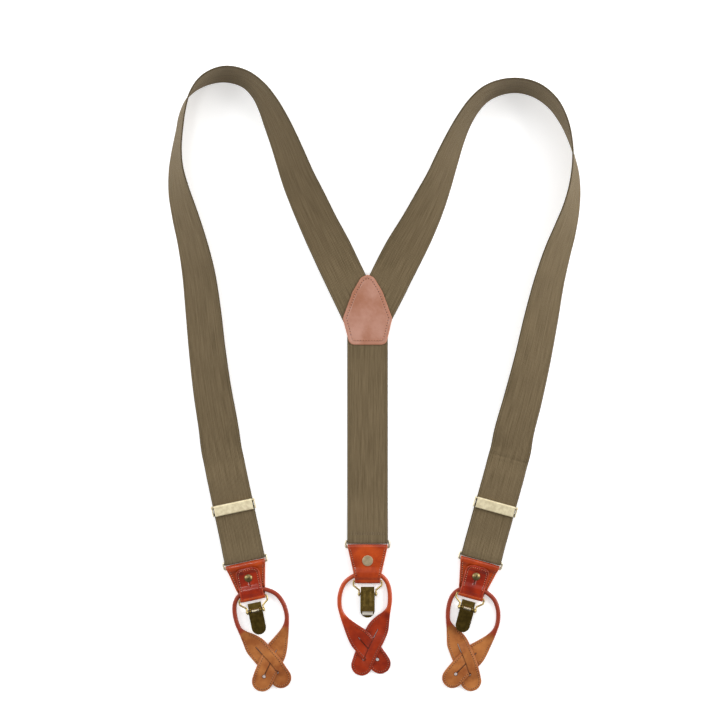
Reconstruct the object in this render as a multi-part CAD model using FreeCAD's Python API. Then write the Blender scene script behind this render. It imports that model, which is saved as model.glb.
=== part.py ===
import FreeCAD, Part
import math
import os
from FreeCAD import Vector

# Y-back suspenders lying on a flat surface: millimetres, +Z up, +Y towards the shoulders, the surface at Z = 0.
# The back strap's end lies outer side up. Both front ends lie inner side up, because each shoulder strap turns over.

# --- driving dimensions -------------------------------------------------------------------------------------------
STRAP_WIDTH = 35.0
STRAP_THICK = 1.3
LEATHER_THICK = 1.5
RUNNING_GAP = 0.1          # radial clearance of a wire inside a fold

RING_WIRE_R = 1.0          # rectangular wire ring between a strap and its leather
RING_HALF_WIDTH = 18.7
RING_HALF_HEIGHT = 2.75
RING_CORNER_R = 1.2

LEATHER_TOP_WIDTH = 34.6
LEATHER_LOW_WIDTH = 22.0
LEATHER_FOLD_Y = -31.5     # axis of the lower fold, which holds the clip hanger
INNER_LAYER_END_Y = -23.4
TONGUE_TOP_Y = -4.8
LAYER_GAP = 0.06
TONGUE_WIDTH = 20.5
STUD_Y = -14.0
STUD_POST_R = 1.4
STUD_BASE_R = 4.6
STUD_HEAD_R = 3.4

CORD_R = 1.9               # rolled leather cord of a button loop
CHANNEL_Y = -26.2          # axis on which the cord crosses the leather
CHANNEL_Z = 0.4

HANGER_WIRE_R = 0.8        # wire frame between the leather and the clip
HANGER_HALF_WIDTH = 12.1
CLIP_PIN_Y = -43.0
CLIP_PIN_R = 0.8
CLIP_END_Y = -63.5
CLIP_HALF_WIDTH = 6.2
SHEET_THICK = 0.8

TAB_WIDTH = 17.0
TAB_FLARE = 20.0            # length over which a tab widens from its cord
TAB_THICK = 1.9
BUTTONHOLE_R = 1.4         # round end of the keyhole
BUTTONHOLE_SLIT = 20.0
HOLE_SETBACK = 4.5         # from the centre of a tab's round end

PATCH_THICK = 1.4
PATCH_CENTRE_X = -6.0

BACK_RING_Z = 4.25         # height of a ring's plane above the surface
FRONT_RING_Z = 4.1
ADJUSTER_Y = 48.0          # distance from the leather's top edge up to the adjuster
STRAIGHT_END_Y = 90.0      # the strap is straight and flat from here down to its ring
RAISED_Z = 3.0             # middle of the strap where it lies on its own return run

HALF_STRAP = STRAP_WIDTH / 2
HALF_WEB = STRAP_THICK / 2

# Ends of the straps: the middle of the leather's top edge, and the turn of the end about +Z.
BACK_END = (-6.0, -141.0, 0.0)
LEFT_END = (-111.5, -156.4, 12.0)
RIGHT_END = (91.3, -155.2, -15.5)

# Middle line of each shoulder strap from the patch to its straight lower run: (x, y, lift, bank).
# bank is the turn about the strap's own length: 0 lies flat outer face up, 90 stands on its edge with the
# edge that was outermost at the top, 180 lies flat with the inner face up. lift is the height over the surface.
LEFT_LINE = [
    (-10.6, 57.2, 1.4, 0), (-20.6, 78.1, 1.4, 0), (-28.9, 95.5, 1.4, 0), (-37.0, 112.5, 0.6, 9),
    (-45.8, 130.0, 0, 20), (-57.5, 155.3, 0, 28), (-65.2, 172.4, 0, 35), (-71.6, 189.4, 0, 41),
    (-78.0, 206.3, 0, 47), (-85.3, 223.4, 0, 53), (-91.8, 236.9, 0, 60), (-98.9, 247.8, 0, 66),
    (-109.9, 257.6, 0, 71), (-128.3, 262.2, 0, 75), (-146.5, 256.4, 0, 84), (-159.3, 243.4, 0, 97),
    (-164.2, 230.4, 0, 102), (-167.0, 214.3, 0, 104), (-169.4, 197.4, 0, 108), (-170.0, 180.4, 0, 115),
    (-167.9, 163.4, 0, 124), (-163.2, 144.0, 0, 132), (-156.5, 118.5, 0, 139), (-151.2, 92.0, 0, 147),
    (-147.4, 60.7, 0, 154), (-144.0, 26.4, 0, 158), (-139.7, -8.2, 0, 164), (-134.3, -42.0, 0, 173),
]
RIGHT_LINE = [
    (-1.3, 58.9, 1.4, 0), (9.0, 78.6, 1.4, 0), (17.3, 95.5, 1.4, 0), (25.9, 112.0, 0.6, 10),
    (35.6, 129.5, 0, 24), (48.0, 154.9, 0, 38), (55.3, 171.7, 0, 48), (61.8, 188.9, 0, 55),
    (68.6, 206.0, 0, 62), (76.9, 223.2, 0, 68), (85.4, 236.0, 0, 71), (95.0, 245.3, 0, 73),
    (107.6, 250.9, 0, 75), (121.5, 252.6, 0, 77), (138.0, 248.6, 0, 78), (152.0, 238.0, 0, 81),
    (162.0, 222.0, 0, 86), (167.4, 206.5, 0, 92), (170.3, 192.5, 0, 98), (171.6, 179.0, 0, 105),
    (171.0, 163.0, 0, 112), (168.0, 146.1, 0, 119), (163.2, 129.1, 0, 127), (157.2, 111.0, 0, 134),
    (150.3, 86.4, 0, 141), (142.9, 52.1, 0, 151), (135.8, 17.7, 0, 157), (127.6, -16.8, 0, 165),
    (119.6, -48.0, 0, 173),
]


# --- helpers ------------------------------------------------------------------------------------------------------
def unit(v):
    return Vector(v.x, v.y, v.z).normalize()


def corner(before, point, after, radius):
    """Tangent points and centre of the arc that rounds a corner, and the directions of its two runs."""
    into = unit(point - before)
    out = unit(after - point)
    turn = into.getAngle(out)
    reach = radius * math.tan(turn / 2)
    start = point - into * reach
    end = point + out * reach
    centre = point + unit(out - into) * (radius / math.cos(turn / 2))
    return start, end, centre, into, out


def rounded_wire(points, radius, closed=False):
    """A wire of straight runs joined by tangent arcs of one radius."""
    points = [Vector(*p) for p in points]
    count = len(points)
    bends = {}
    for i in range(count) if closed else range(1, count - 1):
        bends[i] = corner(points[i - 1], points[i], points[(i + 1) % count], radius)
    edges = []
    for i in range(count if closed else count - 1):
        j = (i + 1) % count
        start = bends[i][1] if i in bends else points[i]
        end = bends[j][0] if j in bends else points[j]
        if (end - start).Length > 1e-6:
            edges.append(Part.LineSegment(start, end).toShape())
        if j in bends:
            centre = bends[j][2]
            middle = centre + unit(points[j] - centre) * radius
            edges.append(Part.Arc(bends[j][0], middle, bends[j][1]).toShape())
    return Part.Wire(edges)


def wire_rod(points, radius, bend_radius, closed=False):
    """Round wire or cord along straight runs and arcs."""
    path = rounded_wire(points, bend_radius, closed)
    first = path.OrderedEdges[0]
    start = first.valueAt(first.FirstParameter)
    along = first.tangentAt(first.FirstParameter)
    section = Part.Wire(Part.makeCircle(radius, start, along))
    return path.makePipeShell([section], True, True)


def strip_side(points, radii, offset):
    """Edges of one side of a bent strip in the YZ plane, OFFSET to the left of its middle line."""
    sides = []
    last = len(points) - 1
    left = Vector(1, 0, 0)
    here = points[0] + left.cross(unit(points[1] - points[0])) * offset
    for i in range(1, last):
        start, end, centre, into, out = corner(points[i - 1], points[i], points[i + 1], radii[i - 1])
        arc_start = start + left.cross(into) * offset
        arc_end = end + left.cross(out) * offset
        arc_radius = (arc_start - centre).Length
        arc_middle = centre + unit(points[i] - centre) * arc_radius
        if (arc_start - here).Length > 1e-6:
            sides.append(Part.LineSegment(here, arc_start).toShape())
        sides.append(Part.Arc(arc_start, arc_middle, arc_end).toShape())
        here = arc_end
    finish = points[last] + left.cross(unit(points[last] - points[last - 1])) * offset
    sides.append(Part.LineSegment(here, finish).toShape())
    return sides, finish


def bent_strip(points, radii, thick, width):
    """A strip of even thickness: its middle line is (y, z) POINTS, each inner one rounded by its radius."""
    line = [Vector(0, y, z) for y, z in points]
    upper, upper_end = strip_side(line, radii, thick / 2)
    lower, lower_end = strip_side(line, radii, -thick / 2)
    start_cap = Part.LineSegment(upper[0].Vertexes[0].Point, lower[0].Vertexes[0].Point).toShape()
    end_cap = Part.LineSegment(upper_end, lower_end).toShape()
    outline = Part.Wire(Part.__sortEdges__(upper + lower + [start_cap, end_cap]))
    face = Part.Face(outline)
    face.translate(Vector(-width / 2, 0, 0))
    return face.extrude(Vector(width, 0, 0))


def prism(outline, low, high):
    """Straight-sided prism over (x, y) points between two heights."""
    corners = [Vector(x, y, low) for x, y in outline]
    return Part.Face(Part.makePolygon(corners + corners[:1])).extrude(Vector(0, 0, high - low))


def box(low, high):
    size = [b - a for a, b in zip(low, high)]
    return Part.makeBox(*size, Vector(*low))


def rod_x(radius, half_length, y, z):
    return Part.makeCylinder(radius, 2 * half_length, Vector(-half_length, y, z), Vector(1, 0, 0))


def both_sides(shape):
    """A shape and its mirror image across the YZ plane."""
    return shape.fuse(shape.mirror(Vector(0, 0, 0), Vector(1, 0, 0)))


def place_end(shape, end, height=0.0, inner_side_up=False):
    """Move a shape from an end's own frame to its place. Its own frame has the outer side towards +Z."""
    x, y, turn = end
    placed = shape.copy()
    if inner_side_up:
        placed.rotate(Vector(0, 0, 0), Vector(0, 1, 0), 180)
    placed.translate(Vector(0, 0, height))
    placed.rotate(Vector(0, 0, 0), Vector(0, 0, 1), turn)
    placed.translate(Vector(x, y, 0))
    return placed


# --- webbing ------------------------------------------------------------------------------------------------------
STATION_STEP = 9.0


def slope(before, here, after, channel):
    """Rate of change of one value along the plan of a line, at the middle one of three stations."""
    back = math.dist(before[:2], here[:2])
    ahead = math.dist(here[:2], after[:2])
    if back == 0 or ahead == 0:
        return (after[channel] - before[channel]) / (back + ahead)
    rate_back = (here[channel] - before[channel]) / back
    rate_ahead = (after[channel] - here[channel]) / ahead
    return (rate_back * ahead + rate_ahead * back) / (back + ahead)


def smooth_line(line):
    """Stations at even steps on the smooth curve through LINE (cubic between stations)."""
    last = len(line) - 1
    slopes = []
    for i, here in enumerate(line):
        slopes.append([slope(line[max(i - 1, 0)], here, line[min(i + 1, last)], k) for k in range(4)])
    stations = []
    for i in range(last):
        span = math.dist(line[i][:2], line[i + 1][:2])
        steps = math.ceil(span / STATION_STEP)
        for step in range(steps):
            t = step / steps
            value = [
                (2 * t**3 - 3 * t**2 + 1) * line[i][k] + (3 * t**2 - 2 * t**3) * line[i + 1][k]
                + span * ((t**3 - 2 * t**2 + t) * slopes[i][k] + (t**3 - t**2) * slopes[i + 1][k])
                for k in range(4)
            ]
            stations.append((value[0], value[1], max(value[2], 0), max(value[3], 0)))
    return stations + [line[-1]]


def ribbon(line, outer_side):
    """Webbing banked along LINE. OUTER_SIDE is +1 where the outermost edge is right of the run, -1 where left."""
    line = smooth_line(line)
    sections = []
    for i, (x, y, lift, bank) in enumerate(line):
        before = line[max(i - 1, 0)]
        after = line[min(i + 1, len(line) - 1)]
        run = unit(Vector(after[0] - before[0], after[1] - before[1], 0))
        outward = Vector(run.y, -run.x, 0) * outer_side
        angle = math.radians(bank)
        across = outward * math.cos(angle) + Vector(0, 0, 1) * math.sin(angle)
        up = outward * -math.sin(angle) + Vector(0, 0, 1) * math.cos(angle)
        height = lift + HALF_STRAP * math.sin(angle) + HALF_WEB * abs(math.cos(angle))
        middle = Vector(x, y, height)
        corners = []
        for side, face in ((1, 1), (-1, 1), (-1, -1), (1, -1)):
            corners.append(middle + across * HALF_STRAP * side + up * HALF_WEB * face)
        sections.append(Part.makePolygon(corners + corners[:1]))
    return Part.makeLoft(sections, True, True)


def straight_start(end):
    """Where a shoulder strap's straight lower run begins, as two stations that hold its direction."""
    x, y, turn = end
    angle = math.radians(turn)
    stations = []
    for reach in (STRAIGHT_END_Y + 8, STRAIGHT_END_Y):
        stations.append((x - reach * math.sin(angle), y + reach * math.cos(angle), 0, 180))
    return stations


def front_lower_run(ring_z):
    """Straight lower run: down over its own return run, and round the ring's upper bar."""
    fold = RING_WIRE_R + RUNNING_GAP + HALF_WEB
    bar = RING_HALF_HEIGHT
    points = [
        (STRAIGHT_END_Y, HALF_WEB), (87.5, HALF_WEB), (76, RAISED_Z), (18, RAISED_Z), (bar + 3, ring_z + fold),
        (bar - fold, ring_z + fold), (bar - fold, ring_z - fold), (bar + 2, ring_z - fold),
    ]
    return bent_strip(points, [10, 20, 20, 8, fold, fold], STRAP_THICK, STRAP_WIDTH)


def return_run(ring_z):
    """The strap's return run, from the ring's fold back up to the adjuster's lower bar."""
    fold = RING_WIRE_R + RUNNING_GAP + HALF_WEB
    start = RING_HALF_HEIGHT + 2
    low = ring_z - fold
    points = [(start + 0.02, low), (start + 2, low), (start + 10, HALF_WEB), (ADJUSTER_Y - 1.5, HALF_WEB)]
    return bent_strip(points, [6, 6], STRAP_THICK, STRAP_WIDTH)


def back_strap():
    """Centre strap: from under the patch down to its sewn fold round the back ring."""
    fold = RING_WIRE_R + RUNNING_GAP + HALF_WEB
    bar = RING_HALF_HEIGHT
    high = BACK_RING_Z + fold
    low = BACK_RING_Z - fold
    top = 185.0
    points = [
        (top, PATCH_THICK + HALF_WEB), (top - 14, PATCH_THICK + HALF_WEB), (top - 26, HALF_WEB),
        (36, HALF_WEB), (bar + 2.5, high), (bar - fold, high), (bar - fold, low), (bar + 1.5, low), (12, low + 0.7),
    ]
    return bent_strip(points, [15, 15, 40, 6, fold, fold, 3], STRAP_THICK, STRAP_WIDTH)


# --- patch --------------------------------------------------------------------------------------------------------
def patch(low, high, scale):
    """Leather patch over the place where the three straps meet: a kite with a rounded top and a cut-off foot."""
    x = PATCH_CENTRE_X
    right = [(16.0, 30.8), (21.2 * scale, 53.5), (12.6 * scale, 76.5), (5.0, 88.6)]
    points = [Vector(x - 15.4, 30.8, low)]
    points += [Vector(x + half, y, low) for half, y in right]
    edges = [Part.LineSegment(a, b).toShape() for a, b in zip(points, points[1:])]
    top_left = Vector(x - 5.0, 88.6, low)
    edges.append(Part.Arc(points[-1], Vector(x, 91.0, low), top_left).toShape())
    left = [top_left] + [Vector(x - half, y, low) for half, y in reversed(right[1:3])] + [points[0]]
    edges += [Part.LineSegment(a, b).toShape() for a, b in zip(left, left[1:])]
    body = Part.Face(Part.Wire(edges)).extrude(Vector(0, 0, high - low))
    upright = [e for e in body.Edges if abs(e.tangentAt(e.FirstParameter).z) > 0.99]
    return body.makeFillet(1.5, upright)


# --- end of a strap, in its own frame: ring plane at z = 0, outer side up, leather's top edge at y = 0 ---------------
def ring():
    x = RING_HALF_WIDTH
    y = RING_HALF_HEIGHT
    corners = [(0, y, 0), (x, y, 0), (x, -y, 0), (-x, -y, 0), (-x, y, 0)]
    return wire_rod(corners[1:], RING_WIRE_R, RING_CORNER_R, closed=True)


INNER_Z = RING_WIRE_R + RUNNING_GAP - LEATHER_THICK / 2 - LAYER_GAP
TONGUE_Z = INNER_Z - LEATHER_THICK - LAYER_GAP


def leather():
    """One leather strip: inner layer, fold round the ring, outer layer, fold round the clip hanger, tongue."""
    ring_fold = RING_WIRE_R + RUNNING_GAP + LEATHER_THICK / 2
    low_fold = HANGER_WIRE_R + RUNNING_GAP + LEATHER_THICK / 2
    top = ring_fold - RING_HALF_HEIGHT
    foot = LEATHER_FOLD_Y - low_fold
    over_cord = CHANNEL_Z + CORD_R + 0.2 + LEATHER_THICK / 2
    under_cord = CHANNEL_Z - CORD_R - 0.2 - LEATHER_THICK / 2
    fold_end = LEATHER_FOLD_Y + 0.5
    layers = [
        (INNER_LAYER_END_Y, INNER_Z), (-7.4, INNER_Z), (-4.2, -ring_fold), (top, -ring_fold), (top, ring_fold),
        (CHANNEL_Y + 6.5, ring_fold), (CHANNEL_Y + 2.0, over_cord), (CHANNEL_Y - 2.0, over_cord),
        (-30.4, low_fold), (foot, low_fold), (foot, -low_fold), (fold_end, -low_fold),
    ]
    radii = [2, 1.5, ring_fold, ring_fold, 3, 2.6, 2.6, 1.4, low_fold, low_fold]
    body = bent_strip(layers, radii, LEATHER_THICK, LEATHER_TOP_WIDTH)
    half_top = LEATHER_TOP_WIDTH / 2
    half_low = LEATHER_LOW_WIDTH / 2
    right = [(half_low, -36), (half_low, LEATHER_FOLD_Y + 1.5), (half_top, -2), (half_top, 3)]
    left = [(-x, y) for x, y in reversed(right)]
    body = body.common(prism(left + right, -9, 9))

    tip_z = -ring_fold - LEATHER_THICK - LAYER_GAP
    tongue_line = [
        (fold_end, -low_fold), (-29.8, -low_fold), (CHANNEL_Y - 1.4, under_cord), (CHANNEL_Y + 2.0, under_cord),
        (-20.5, TONGUE_Z), (-10.0, TONGUE_Z), (-7.4, tip_z), (TONGUE_TOP_Y, tip_z),
    ]
    tongue = bent_strip(tongue_line, [1, 3, 3, 3, 1.5, 1.5], LEATHER_THICK, TONGUE_WIDTH)
    half_tongue = TONGUE_WIDTH / 2
    shoulder = TONGUE_TOP_Y - half_tongue
    outline = box((-half_tongue, -40, -9), (half_tongue, shoulder, 9))
    outline = outline.fuse(Part.makeCylinder(half_tongue, 18, Vector(0, shoulder, -9)))
    slit_depth = TONGUE_Z + LEATHER_THICK / 2 + LAYER_GAP / 2
    slit = box((-0.4, STUD_Y - 7.5, -9), (0.4, STUD_Y, slit_depth))
    body = body.fuse(tongue.common(outline).cut(slit))
    return body.cut(Part.makeCylinder(STUD_POST_R + 0.05, 20, Vector(0, STUD_Y, -10)))


def stud_base():
    top = RING_WIRE_R + RUNNING_GAP + LEATHER_THICK
    disc = Part.makeCylinder(STUD_BASE_R, 0.8, Vector(0, STUD_Y, top))
    disc = disc.makeFillet(0.3, [e for e in disc.Edges if e.BoundBox.ZMin > top + 0.7])
    foot = TONGUE_Z - LEATHER_THICK / 2
    post = Part.makeCylinder(STUD_POST_R, top - foot, Vector(0, STUD_Y, foot))
    return disc.fuse(post).removeSplitter()


def stud_head():
    low = TONGUE_Z - LEATHER_THICK / 2
    dome_r = 5.2
    dome = Part.makeSphere(dome_r, Vector(0, STUD_Y, low - 1.6 + dome_r))
    cap = Part.makeCylinder(STUD_HEAD_R, 1.6, Vector(0, STUD_Y, low - 1.6))
    return cap.common(dome)


def clip_hanger():
    """Wire frame whose top bar lies in the leather's lower fold and whose two feet are eyes on the clip's pin."""
    x = HANGER_HALF_WIDTH
    foot_x = 7.25
    points = [
        (foot_x, CLIP_PIN_Y + 1.3, 0), (foot_x, -39.5, 0), (x, -35.6, 0), (x, LEATHER_FOLD_Y, 0),
        (-x, LEATHER_FOLD_Y, 0), (-x, -35.6, 0), (-foot_x, -39.5, 0), (-foot_x, CLIP_PIN_Y + 1.3, 0),
    ]
    frame = wire_rod(points, HANGER_WIRE_R, 0.95)
    eye = Part.makeCylinder(1.9, 1.5, Vector(foot_x - 0.75, CLIP_PIN_Y, 0), Vector(1, 0, 0))
    frame = frame.fuse(both_sides(eye))
    return frame.cut(rod_x(CLIP_PIN_R + 0.05, 12, CLIP_PIN_Y, 0))


def clip_body():
    """Back plate of the clip with a round end, and two ears that hold the pin."""
    half = CLIP_HALF_WIDTH
    low = -2.2
    plate = box((-half, CLIP_END_Y + half, low), (half, CLIP_PIN_Y - 1.2, low + SHEET_THICK))
    plate = plate.fuse(Part.makeCylinder(half, SHEET_THICK, Vector(0, CLIP_END_Y + half, low)))
    ear = box((half - 0.9, CLIP_PIN_Y - 6, low), (half, CLIP_PIN_Y, 0.5))
    ear = ear.fuse(Part.makeCylinder(1.9, 0.9, Vector(half - 0.9, CLIP_PIN_Y, 0), Vector(1, 0, 0)))
    body = plate.fuse(both_sides(ear)).removeSplitter()
    return body.cut(rod_x(CLIP_PIN_R + 0.02, 12, CLIP_PIN_Y, 0))


def clip_lever():
    """Front plate of the clip: pressing its top opens the jaw at its foot."""
    points = [(-36.3, 3.6), (-53.5, 3.2), (-57.6, 0.45)]
    plate = bent_strip(points, [3], SHEET_THICK, 11.7)
    for x in (-2.6, 2.6):
        plate = plate.cut(Part.makeCylinder(0.8, 13.5, Vector(x, -53, 4.06), Vector(0, 17.2, 0.4)))
        plate = plate.cut(Part.makeSphere(1.1, Vector(x, -56.8, 2.35)))
    lug = box((3.9, CLIP_PIN_Y - 2.4, 0), (4.8, CLIP_PIN_Y + 2.4, 3.3))
    lug = lug.fuse(Part.makeCylinder(1.7, 0.9, Vector(3.9, CLIP_PIN_Y, 0), Vector(1, 0, 0)))
    lug = lug.common(box((0, CLIP_PIN_Y - 2.2, -3), (9, CLIP_PIN_Y + 2.2, 3.3)))
    lever = plate.fuse(both_sides(lug))
    return lever.cut(rod_x(CLIP_PIN_R + 0.05, 6, CLIP_PIN_Y, 0))


def clip_pin():
    return rod_x(CLIP_PIN_R, 8.4, CLIP_PIN_Y, 0)


def clip_spring():
    """Torsion spring round the pin, as the outer shape of its coil."""
    coil = rod_x(1.5, 3.2, CLIP_PIN_Y, 0)
    return coil.cut(rod_x(CLIP_PIN_R + 0.1, 4, CLIP_PIN_Y, 0))


def grip_pad():
    """Ribbed pad on the back plate, under the jaw."""
    low = -2.2 + SHEET_THICK
    pad = box((-4.6, -61.2, low), (4.6, -53.0, low + 0.8))
    for rib in range(5):
        pad = pad.fuse(rod_x(0.45, 4.6, -60.4 + 1.6 * rib, low + 0.8))
    return pad.removeSplitter()


# --- button loop, in the frame of its end with the surface at z = 0 ---------------------------------------------------
def turned(x, y, turn):
    """A point of the loop turned about the middle of its channel."""
    angle = math.radians(turn)
    reach = y - CHANNEL_Y
    return x * math.cos(angle) - reach * math.sin(angle), CHANNEL_Y + x * math.sin(angle) + reach * math.cos(angle)


UNDER_TAB = ((-17.8, -60.0), (12.7, -110.9))       # from the cord on the left down to the lower right
OVER_TAB = ((17.0, -56.0), (-11.8, -111.9))         # from the cord on the right down to the lower left


def loop_cord(channel_z, turn):
    """Rolled cord: across the leather, then down both sides to the tabs."""
    left = turned(*UNDER_TAB[0], turn)
    right = turned(*OVER_TAB[0], turn)
    left_knee = turned(-22.6, -46.0, turn)
    right_knee = turned(21.8, -43.0, turn)
    points = [
        (*left, CORD_R), (*left_knee, CORD_R + 0.2), (-19.2, CHANNEL_Y, channel_z), (19.2, CHANNEL_Y, channel_z),
        (*right_knee, CORD_R + 0.2), (*right, CORD_R + TAB_THICK / 2),
    ]
    return wire_rod(points, CORD_R, 5.6)


def tab(start, end, low, neck_low, turn):
    """Flat leather tab that widens from the cord and ends round, with its buttonhole."""
    first = Vector(*turned(*start, turn), 0)
    last = Vector(*turned(*end, turn), 0)
    length = (last - first).Length
    half = TAB_WIDTH / 2
    outline = [
        (-2.0, 0.8), (-half, TAB_FLARE), (-half, length - half), (half, length - half), (half, TAB_FLARE), (2.0, 0.8)]
    flat = prism(outline, 0, TAB_THICK)
    flat = flat.fuse(Part.makeCylinder(half, TAB_THICK, Vector(0, length - half, 0))).removeSplitter()
    hole_y = length - half - HOLE_SETBACK
    flat = flat.cut(Part.makeCylinder(BUTTONHOLE_R, 9, Vector(0, hole_y, -3)))
    flat = flat.cut(box((-0.3, hole_y - BUTTONHOLE_SLIT, -3), (0.3, hole_y, 6)))
    heading = math.degrees(math.atan2(last.y - first.y, last.x - first.x)) - 90
    flat.rotate(Vector(0, 0, 0), Vector(0, 0, 1), heading)
    flat.translate(Vector(first.x, first.y, low + neck_low))
    return flat


def under_tab(turn):
    return tab(*UNDER_TAB, 0, 0, turn)


def over_tab(turn):
    return tab(*OVER_TAB, TAB_THICK + 0.1, 0, turn)


# --- adjuster, in the frame of its strap's end with the surface at z = 0 ----------------------------------------------
BAR_LOW = 1.45
PIVOT_Z = RAISED_Z + HALF_WEB + 0.2 + 1.25
PIVOT_Y = ADJUSTER_Y + 3.4


def adjuster_frame():
    """Two flat bars under the strap and a wall at each side of it."""
    frame = box((-18.9, ADJUSTER_Y - 4.4, 0.6), (-18.1, ADJUSTER_Y + 4.7, PIVOT_Z + 1.1))
    frame = frame.makeFillet(1.0, [e for e in frame.Edges if abs(e.tangentAt(e.FirstParameter).x) > 0.9])
    frame = both_sides(frame)
    for y in (-4.0, 1.6):
        frame = frame.fuse(box((-18.2, ADJUSTER_Y + y, BAR_LOW), (18.2, ADJUSTER_Y + y + 2.4, BAR_LOW + 0.7)))
    return frame.cut(rod_x(0.62, 20, PIVOT_Y, PIVOT_Z)).removeSplitter()


def adjuster_pivot():
    return rod_x(0.6, 19.2, PIVOT_Y, PIVOT_Z)


def adjuster_plate():
    """Cover plate curled round the pivot, with its gripping edge turned down to the strap."""
    curl = 0.6 + 0.05 + 0.3
    back = PIVOT_Y + curl
    points = [
        (PIVOT_Y - 0.8, PIVOT_Z - curl), (back, PIVOT_Z - curl), (back, PIVOT_Z + curl),
        (ADJUSTER_Y - 4.4, PIVOT_Z + curl), (ADJUSTER_Y - 4.4, RAISED_Z + HALF_WEB + 0.35),
    ]
    return bent_strip(points, [curl, curl, 0.8], 0.6, 33.6)


# --- the whole object ---------------------------------------------------------------------------------------------
def main():
    shapes = {"back_strap": place_end(back_strap(), BACK_END)}
    half_plane = {
        "left": box((-400, -400, -5), (PATCH_CENTRE_X - 0.02, 400, 60)),
        "right": box((PATCH_CENTRE_X + 0.02, -400, -5), (400, 400, 60)),
    }
    lines = {"left": (LEFT_LINE, LEFT_END, 1), "right": (RIGHT_LINE, RIGHT_END, -1)}
    for side, (line, end, outer_side) in lines.items():
        banked = ribbon(line + straight_start(end), outer_side).common(half_plane[side])
        lower = place_end(front_lower_run(FRONT_RING_Z), end)
        shapes[f"{side}_strap"] = banked.fuse(lower)
        shapes[f"{side}_return_run"] = place_end(return_run(FRONT_RING_Z), end)
        shapes[f"{side}_adjuster_frame"] = place_end(adjuster_frame(), end)
        shapes[f"{side}_adjuster_pivot"] = place_end(adjuster_pivot(), end)
        shapes[f"{side}_adjuster_plate"] = place_end(adjuster_plate(), end)

    web_top = PATCH_THICK + STRAP_THICK + LAYER_GAP
    shapes["patch_outer"] = patch(web_top, web_top + PATCH_THICK, 1.0)
    shapes["patch_inner"] = patch(0, PATCH_THICK, 0.97)

    ends = {"back": (BACK_END, BACK_RING_Z, False, 2.0), "left": (LEFT_END, FRONT_RING_Z, True, 0.0),
            "right": (RIGHT_END, FRONT_RING_Z, True, 8.0)}
    pieces = {"ring": ring, "leather": leather, "stud_base": stud_base, "stud_head": stud_head,
              "clip_hanger": clip_hanger, "clip_body": clip_body, "clip_lever": clip_lever, "clip_pin": clip_pin,
              "clip_spring": clip_spring, "grip_pad": grip_pad}
    for name, (end, ring_z, inner_side_up, loop_turn) in ends.items():
        for piece, make in pieces.items():
            shapes[f"{name}_{piece}"] = place_end(make(), end, ring_z, inner_side_up)
        channel_z = ring_z - CHANNEL_Z if inner_side_up else ring_z + CHANNEL_Z
        shapes[f"{name}_loop_cord"] = place_end(loop_cord(channel_z, loop_turn), end)
        shapes[f"{name}_under_tab"] = place_end(under_tab(loop_turn), end)
        shapes[f"{name}_over_tab"] = place_end(over_tab(loop_turn), end)

    os.makedirs("parts", exist_ok=True)
    for name, shape in shapes.items():
        shape.exportStep(f"parts/{name}.step")
    whole = Part.makeCompound(list(shapes.values())).BoundBox
    print("nodes", len(shapes), "centre", round(whole.Center.x, 2), round(whole.Center.y, 2))
    print("size", round(whole.XLength, 1), round(whole.YLength, 1), round(whole.ZLength, 1), "low", round(whole.ZMin, 3))
    for name, shape in shapes.items():
        if not shape.isValid() or len(shape.Solids) != 1:
            print("look at", name, shape.isValid(), len(shape.Solids))


main()
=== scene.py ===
import math
import bmesh
import bpy
import numpy as np
from mathutils import Matrix, Vector, noise


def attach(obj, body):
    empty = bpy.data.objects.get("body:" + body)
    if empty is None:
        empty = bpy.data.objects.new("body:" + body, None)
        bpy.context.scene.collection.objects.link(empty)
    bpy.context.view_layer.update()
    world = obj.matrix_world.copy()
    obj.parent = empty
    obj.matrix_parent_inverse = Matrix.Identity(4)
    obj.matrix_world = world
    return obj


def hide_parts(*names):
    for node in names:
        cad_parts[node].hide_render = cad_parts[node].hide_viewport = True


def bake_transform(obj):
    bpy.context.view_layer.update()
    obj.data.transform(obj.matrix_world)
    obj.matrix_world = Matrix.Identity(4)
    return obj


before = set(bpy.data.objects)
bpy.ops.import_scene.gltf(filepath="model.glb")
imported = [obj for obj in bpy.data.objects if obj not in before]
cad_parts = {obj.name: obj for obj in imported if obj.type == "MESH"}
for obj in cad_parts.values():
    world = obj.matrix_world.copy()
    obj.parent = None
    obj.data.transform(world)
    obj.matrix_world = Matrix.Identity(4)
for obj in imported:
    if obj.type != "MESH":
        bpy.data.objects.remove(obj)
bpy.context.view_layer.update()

# Y-back suspenders. Every size below is in millimetres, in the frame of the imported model; MM turns it into metres.
MM = 0.001

STRAP_WIDTH = 35.0
STRAP_THICK = 1.3
HALF_WEB = STRAP_THICK / 2
LEATHER_THICK = 1.5
RING_HALF_HEIGHT = 2.75
WEB_FOLD = 1.75            # ring bar to the middle of the webbing folded round it
FOLD_SLACK = 0.2           # how far each fold stands off its bar towards the other
BACK_RING_Z = 4.25
FRONT_RING_Z = 4.1
ADJUSTER_Y = 48.0
STRAIGHT_END_Y = 90.0
RAISED_Z = 3.0
PATCH_X = -6.0
PATCH_Y = 61.0
PATCH_SEAM = 3.1           # the patch's seam from its edge
CHANNEL_Y = -26.2          # the cord's channel in a leather end, from its top edge
CHANNEL_Z = 0.4            # and from the ring's plane, towards the outer side

# end: (middle of the leather's top edge x, y, turn about +Z, ring height, inner side up, turn of its button loop)
ENDS = {
    "back": (-6.0, -141.0, 0.0, BACK_RING_Z, False, 0.0),
    "left": (-111.5, -156.4, 12.0, FRONT_RING_Z, True, 3.0),
    "right": (91.3, -155.2, -15.5, FRONT_RING_Z, True, 11.0),
}

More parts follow.
